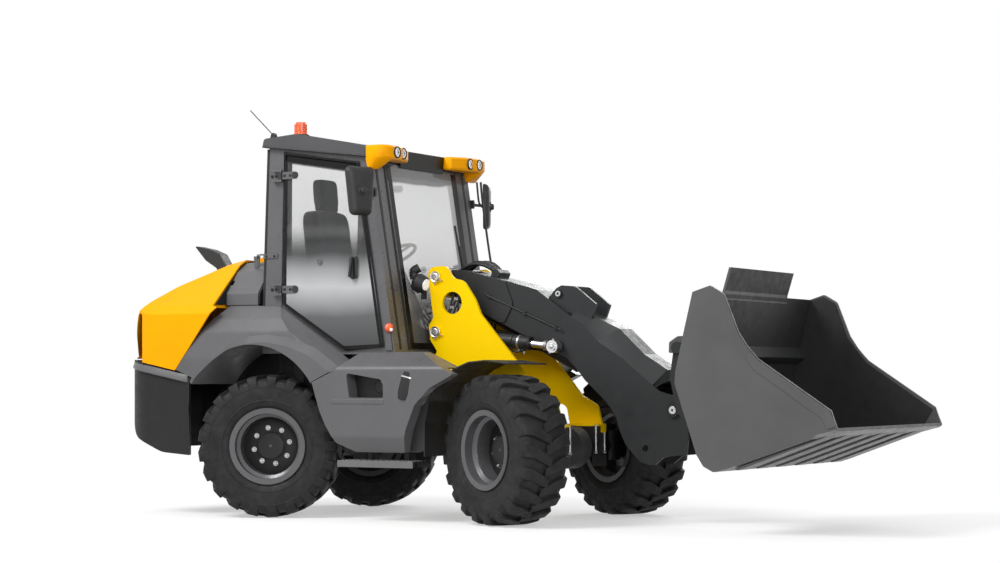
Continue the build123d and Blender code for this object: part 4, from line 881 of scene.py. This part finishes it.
arm_pins = Piece().turned(((0, 9), (4, 10), (4, 20), (0, 22)), (1081, 140.5, 1670), LEFT, 32)
arm_pins.lathe(((0, 0), (0, 22), (5, 20), (7, 0)), (LIFT_EYE[0], 282, LIFT_EYE[1]), LEFT, 32)
arm_pins.hexagon(22, 14, (LIFT_EYE[0], 288, LIFT_EYE[1]), LEFT)
arm_pins.mirrored().done("arm_pin_heads", zinc, "arm")
nose_bolt = Piece().plate(rounded([(1470, 905, 5), (1484, 900, 5), (1488, 884, 5), (1474, 880, 5)]), 165, 172)
nose_bolt.mirrored().done("arm_stud", black_steel, "arm", bevel=1)
pin_face, pin_core = Piece(), Piece()
pin_face.turned(((0, 8), (3, 9), (3, 26), (0, 29)), (HITCH[0], 185.4, HITCH[1]), LEFT, 40)
pin_core.lathe(((0, 0), (0, 8), (7, 6), (7, 0)), (HITCH[0], 185.4, HITCH[1]), LEFT, 20)
pin_face.mirrored().done("nose_pin_face", zinc, "levelling_pin_body")
pin_core.mirrored().done("nose_pin_core", black_steel, "levelling_pin_body")

# lift cylinders
run = Vector((LIFT_EYE[0] - LIFT_BASE[0], 0, LIFT_EYE[1] - LIFT_BASE[1])).normalized()
down = Vector((run.z, 0, -run.x))
for hand, side in HANDS:
    def along(s, off=0.0):
        """Spot at s from the base pin along the cylinder, and off below it."""
        return Vector((LIFT_BASE[0], side * 233, LIFT_BASE[1])) + run * s + down * off

    gland = Piece().turned(((0, 26), (4, 44), (4, 51), (48, 52), (52, 50), (52, 27)), along(716), run)
    gland.turned(((0, 48), (2, 54), (26, 54), (28, 48)), along(600), run)
    port = along(700)
    gland.slab((port.x - 16, port.x + 16), span(side, 217, 249), (port.z - 66, port.z - 44))
    gland.tube([along(700, 62), along(660, 72), along(560, 62), along(300, 58), along(120, 60)], 9, 6, 10)
    gland.done(f"lift_gland_{hand}", black_steel, f"lift_barrel_{hand}_body", bevel=1)
    collar = Piece().turned(((0, 48), (1, 53), (15, 53), (16, 48)), along(668), run)
    collar.hexagon(20, 24, along(668, 50), down)
    collar.hexagon(22, 20, along(716, 62), down)
    collar.done(f"lift_collar_{hand}", steel, f"lift_barrel_{hand}_body")
    eye = Piece().turned(((0, 26), (2, 36), (30, 40), (34, 26)), along(880), run, 32)
    eye.hexagon(18, 12, along(930, 44), down)
    eye.hexagon(18, 12, along(950, -44), -down)
    eye.done(f"lift_rod_eye_{hand}", steel, f"lift_rod_{hand}_body")

# ---- side panels and steps
liner = Piece()
recess = [(-218, 1086, 20), (80, 1040, 20), (104, 1000, 10), (104, 905, 10), (-190, 905, 10)]
liner.plate(rounded(inset(recess, 1.5)), 880.6, 884)
liner.mirrored().done("recess_liners", rubber_seal)
ridge = Piece()
ridge.layers([(-352, 896, 14), (112, 896, 8), (112, 858, 8), (-352, 858, 14)], ((960, 0.1), (1001, 0.1), (1005, 4)),
             lambda x, z, y: at(x, y, z))
ridge.mirrored().done("tread_ridges", grey_moulding, bevel=2)
caps = Piece().turned(((0, 30), (10, 32), (12, 44), (8, 52), (0, 54)), (18, 884, 985), LEFT, 40)
caps.lathe(((0, 0), (0, 40), (18, 36), (22, 0)), (18, 884, 985), LEFT, 32)
caps.mirrored().done("recess_caps", black_moulding, bevel=1)
treads = Piece()
for i in range(13):
    for j in range(5):
        spot = (-262 + 49 * i, 782 + 47 * j, 445)
        treads.lathe(((0, 0), (0, 9), (6, 7), (6, 4), (3, 0)), spot, (0, 0, 1), 12)
for i in range(7):
    for j in range(2):
        spot = (-160 + 40 * i, 910 + 50 * j, 893)
        treads.lathe(((0, 0), (0, 8), (5, 6), (5, 3), (3, 0)), spot, (0, 0, 1), 12)
treads.mirrored().done("step_treads", step_steel)
Piece().slab((-291, 361), (1000, 1004), (398, 447)).mirrored().done("step_edges", step_steel, bevel=2)

# fuel filler, right side
FUEL = Vector((300, -952, 1050))
lean = Vector((0.22, 0.16, 0.96)).normalized()
sleeve = Piece().lathe(((-170, 0), (-165, 40), (-120, 52), (-10, 60), (-10, 0)), FUEL, lean, 40)
sleeve.lathe(((6, 0), (6, 58), (34, 60), (40, 54), (42, 0)), FUEL, lean, 24)
sleeve.tube([FUEL + lean * 40 + Vector((-44, 0, 0)), FUEL + lean * 62, FUEL + lean * 40 + Vector((44, 0, 0))], 13, 5)
sleeve.done("fuel_cap", rubber_seal, bevel=2)
Piece().turned(((-8, 58), (-6, 66), (4, 66), (6, 58)), FUEL, lean, 40).done("fuel_collar", zinc)

# ---- hood and rear
SLATS, SLAT_PITCH = 8, 38
HOOD_TAIL = ((1205, -2322), (1340, -2303), (1535, -2218), (1640, -2130))
slats = Piece()
for k in range(SLATS):
    z = 1262 + SLAT_PITCH * k
    x0, x1 = on_line(HOOD_TAIL, z), on_line(HOOD_TAIL, z + 20)
    for y0, y1 in ((-430, -20), (20, 430)):
        slats.plate(((x0 - 4, z), (x1 - 9, z + 20), (x1 + 6, z + 22), (x0 + 6, z)), y0, y1)
slats.done("rear_grille", black_moulding, "hood", bevel=1.5)
grip = Piece()
tail_x = on_line(HOOD_TAIL, 1225)
grip.tube([(tail_x + 4, -70, 1225), (tail_x - 16, -60, 1225), (tail_x - 16, 60, 1225), (tail_x + 4, 70, 1225)],
          9, 4, 10)
grip.done("hood_grip", black_steel, "hood")
for name, material, y0, y1 in (("tail_lamps", red, 560, 680), ("rear_turn_lamps", orange, 480, 552)):
    rear_lamp = Piece().layers([(y0, 980, 8), (y1, 980, 8), (y1, 930, 8), (y0, 930, 8)],
                               ((-2329, 0.1), (-2342, 0.1), (-2348, 5)), lambda y, z, x: at(x, y, z), 3)
    rear_lamp.mirrored().done(name, material)

# skin over the roof's front, which the solid leaves open
ROOF_SLOPE = 0.1983  # rise towards the rear
roof_skin = Piece().plate([(x, 2776 - ROOF_SLOPE * (x + 240) + lift)
                           for x, lift in ((-560, -4), (-262, -4), (-262, 1.5), (-560, 1.5))], -690, 690)
roof_skin.done("roof_skin", roof_panel, bevel=1)

# ledge along the counterweight's top edge, round its rear corner, in the pale grey moulding over the dark cast paint: a
# painted highlight on the top edge
ledge = Piece()
REAR_CORNER, CORNER_RADIUS, LEDGE_SLOPE = (-2090, 700), 260, 0.194
# spot on the edge, direction out of the face there, how far the ledge stands out
stations = [(x, 960, 0, 1, out) for x, out in ((-1700, 2), (-1730, 20), (-1800, 24), (-1950, 24), (-2090, 24))]
stations += [(REAR_CORNER[0] - CORNER_RADIUS * math.sin(a), REAR_CORNER[1] + CORNER_RADIUS * math.cos(a),
              -math.sin(a), math.cos(a), out) for a, out in ((0.25, 23), (0.5, 20), (0.75, 14), (1.0, 2))]
rings = []
for x, y, nx, ny, out in stations:
    top = 1195 - LEDGE_SLOPE * (x + 2315)
    section = ((-1.5, top - 3), (out, top - 48), (out, top - 58), (-1.5, top - 66))
    rings.append([at(x + nx * d, y + ny * d, z) for d, z in section])
ledge.grid(rings)
# pale grey moulding on the ledge: painted highlight where the top edge catches the light
ledge.mirrored().done("counterweight_ledge", grey_moulding, bevel=2)

# ---- bucket: strips, cutters, edge, fold
STRIP = [(2880, 455), (3470, 660), (3520, 678), (3512, 668), (3480, 652), (2930, 450), (2868, 432), (2858, 446)]
strips = Piece()
for y in (-845, -507, -169, 169, 507, 845):
    strips.plate(STRIP, y - 92, y + 92)
strips.done("wear_strips", step_steel, "attachment", bevel=2)
lip = Piece().plate([(3440, 650), (3600, 693), (3615, 705), (3611, 713), (3596, 709), (3470, 678)], -1026, 1026)
lip.done("cutting_edge", worn_edge, "attachment", bevel=1.5)
MOUTH = [(2914, 1353), (2976, 1261), (3057, 1172), (3571, 833), (3604, 738)]
cutter, edge_line = Piece(), Piece()
cutter.plate([(2996, 1235), (3057, 1170), (3568, 834), (3610, 734), (3548, 716), (3516, 784), (3030, 1106),
              (2970, 1190)], 1025, 1033)
cutter.mirrored().done("side_cutters", bucket_paint, "attachment", bevel=2)
edge_line.tube([(2816, 1013, 1606), (2862, 1013, 1492)] + [(x + 3, 1013, z + 3) for x, z in MOUTH], 4, 1, 8)
edge_line.mirrored().done("mouth_edges", worn_edge, "attachment")
fold = Piece().plate([(2524, 1282), (2566, 1212), (2566, 1196), (2500, 1150)], -999, 999)
fold.done("back_fold", dark_paint, "attachment", bevel=3)
INNER = [(2612, 1628), (2549, 1366), (2486, 1093), (2480, 1018), (2570, 752), (2638, 550), (2682, 480), (2744, 446),
         (2846, 476), (3480, 694)]
CHEEK = INNER + [(3560, 820), (3050, 1160), (2960, 1270), (2900, 1350), (2806, 1600), (2712, 1652)]
# spill guard face, bucket inside and inner cheeks in the darker copy of the bucket paint: painted shade
spill = Piece().plate([(2613.5, 1652), (2661.2, 1808), (2659, 1808.6), (2611, 1652)], -548, 548)
spill.done("spill_face", bucket_inner, "attachment")
skin = Piece().grid([[at(x, y, z) for x, z in INNER] for y in (-999.2, 999.2)], closed=False)
skin.plate(CHEEK, 997.5, 999)
skin.plate(CHEEK, -999, -997.5)
skin.done("shaded_bucket_skin", bucket_inner, "attachment", angle=30)

# ---- floor, light and camera
def stage_floor():
    """Pale floor: lit and shadowed near the machine, plain white further out."""
    bpy.ops.mesh.primitive_plane_add(size=120, location=(0, 0, -0.001))
    floor = bpy.context.object
    floor.name = "studio_floor"
    m = Nodes("studio_floor")
    m.set(Base_Color=(0.55, 0.55, 0.55, 1), Roughness=0.9, Specular_IOR_Level=0.1)
    seen = m.seen()
    m.shader.inputs["Emission Color"].default_value = (1, 1, 1, 1)
    m.link(m.maths("MULTIPLY", seen, 0.45), m.shader.inputs["Emission Strength"])
    white = m.new("ShaderNodeEmission")
    m.link(m.ramp(seen, 0, 1, 0.5, 1.0), white.inputs["Strength"])
    far = m.new("ShaderNodeVectorMath", operation="LENGTH")
    m.link(m.place, far.inputs[0])
    blend = m.new("ShaderNodeMixShader")
    m.link(m.ramp(far.outputs["Value"], 2.6, 5.5, 0, 1), blend.inputs["Fac"])
    m.link(m.shader.outputs[0], blend.inputs[1])
    m.link(white.outputs[0], blend.inputs[2])
    m.link(blend.outputs[0], m.tree.nodes["Material Output"].inputs["Surface"])
    floor.data.materials.append(m.material)


def lamp(name, place, aim, size, watts):
    data = bpy.data.lights.new(name, "AREA")
    data.shape = "DISK"
    data.size = size
    data.energy = watts
    obj = bpy.data.objects.new(name, data)
    obj.location = place
    obj.rotation_euler = (Vector(aim) - Vector(place)).to_track_quat("-Z", "Y").to_euler()
    scene.collection.objects.link(obj)


stage_floor()
world = bpy.data.worlds.new("studio")
scene.world = world
world.use_nodes = True
sky = Tree(world.node_tree)
back = sky.tree.nodes["Background"]
back.inputs["Color"].default_value = (1, 1, 1, 1)
sky.link(sky.ramp(sky.seen(), 0, 1, 0.5, 1.0), back.inputs["Strength"])
lamp("key", (-3.5, -7.5, 9.0), (0, 0, 1), 5.0, 900)
lamp("front", (8.0, -9.0, 4.0), (0.5, 0, 1.2), 5.0, 460)
lamp("back", (-2.0, 9.0, 6.0), (0, 0, 1), 5.0, 420)

# the camera, solved from the photograph
camera = bpy.data.cameras.new("camera")
camera.lens = 82.5
camera.sensor_width = 36
camera.shift_y = 0.0957
camera.clip_end = 200
viewer = bpy.data.objects.new("camera", camera)
viewer.location = (9.123 - SHIFT / 1000, -14.980, 1.055)
viewer.rotation_euler = Vector((-0.4985, 0.8669, 0)).to_track_quat("-Z", "Y").to_euler()
scene.collection.objects.link(viewer)
scene.camera = viewer
scene.view_settings.view_transform = "Standard"
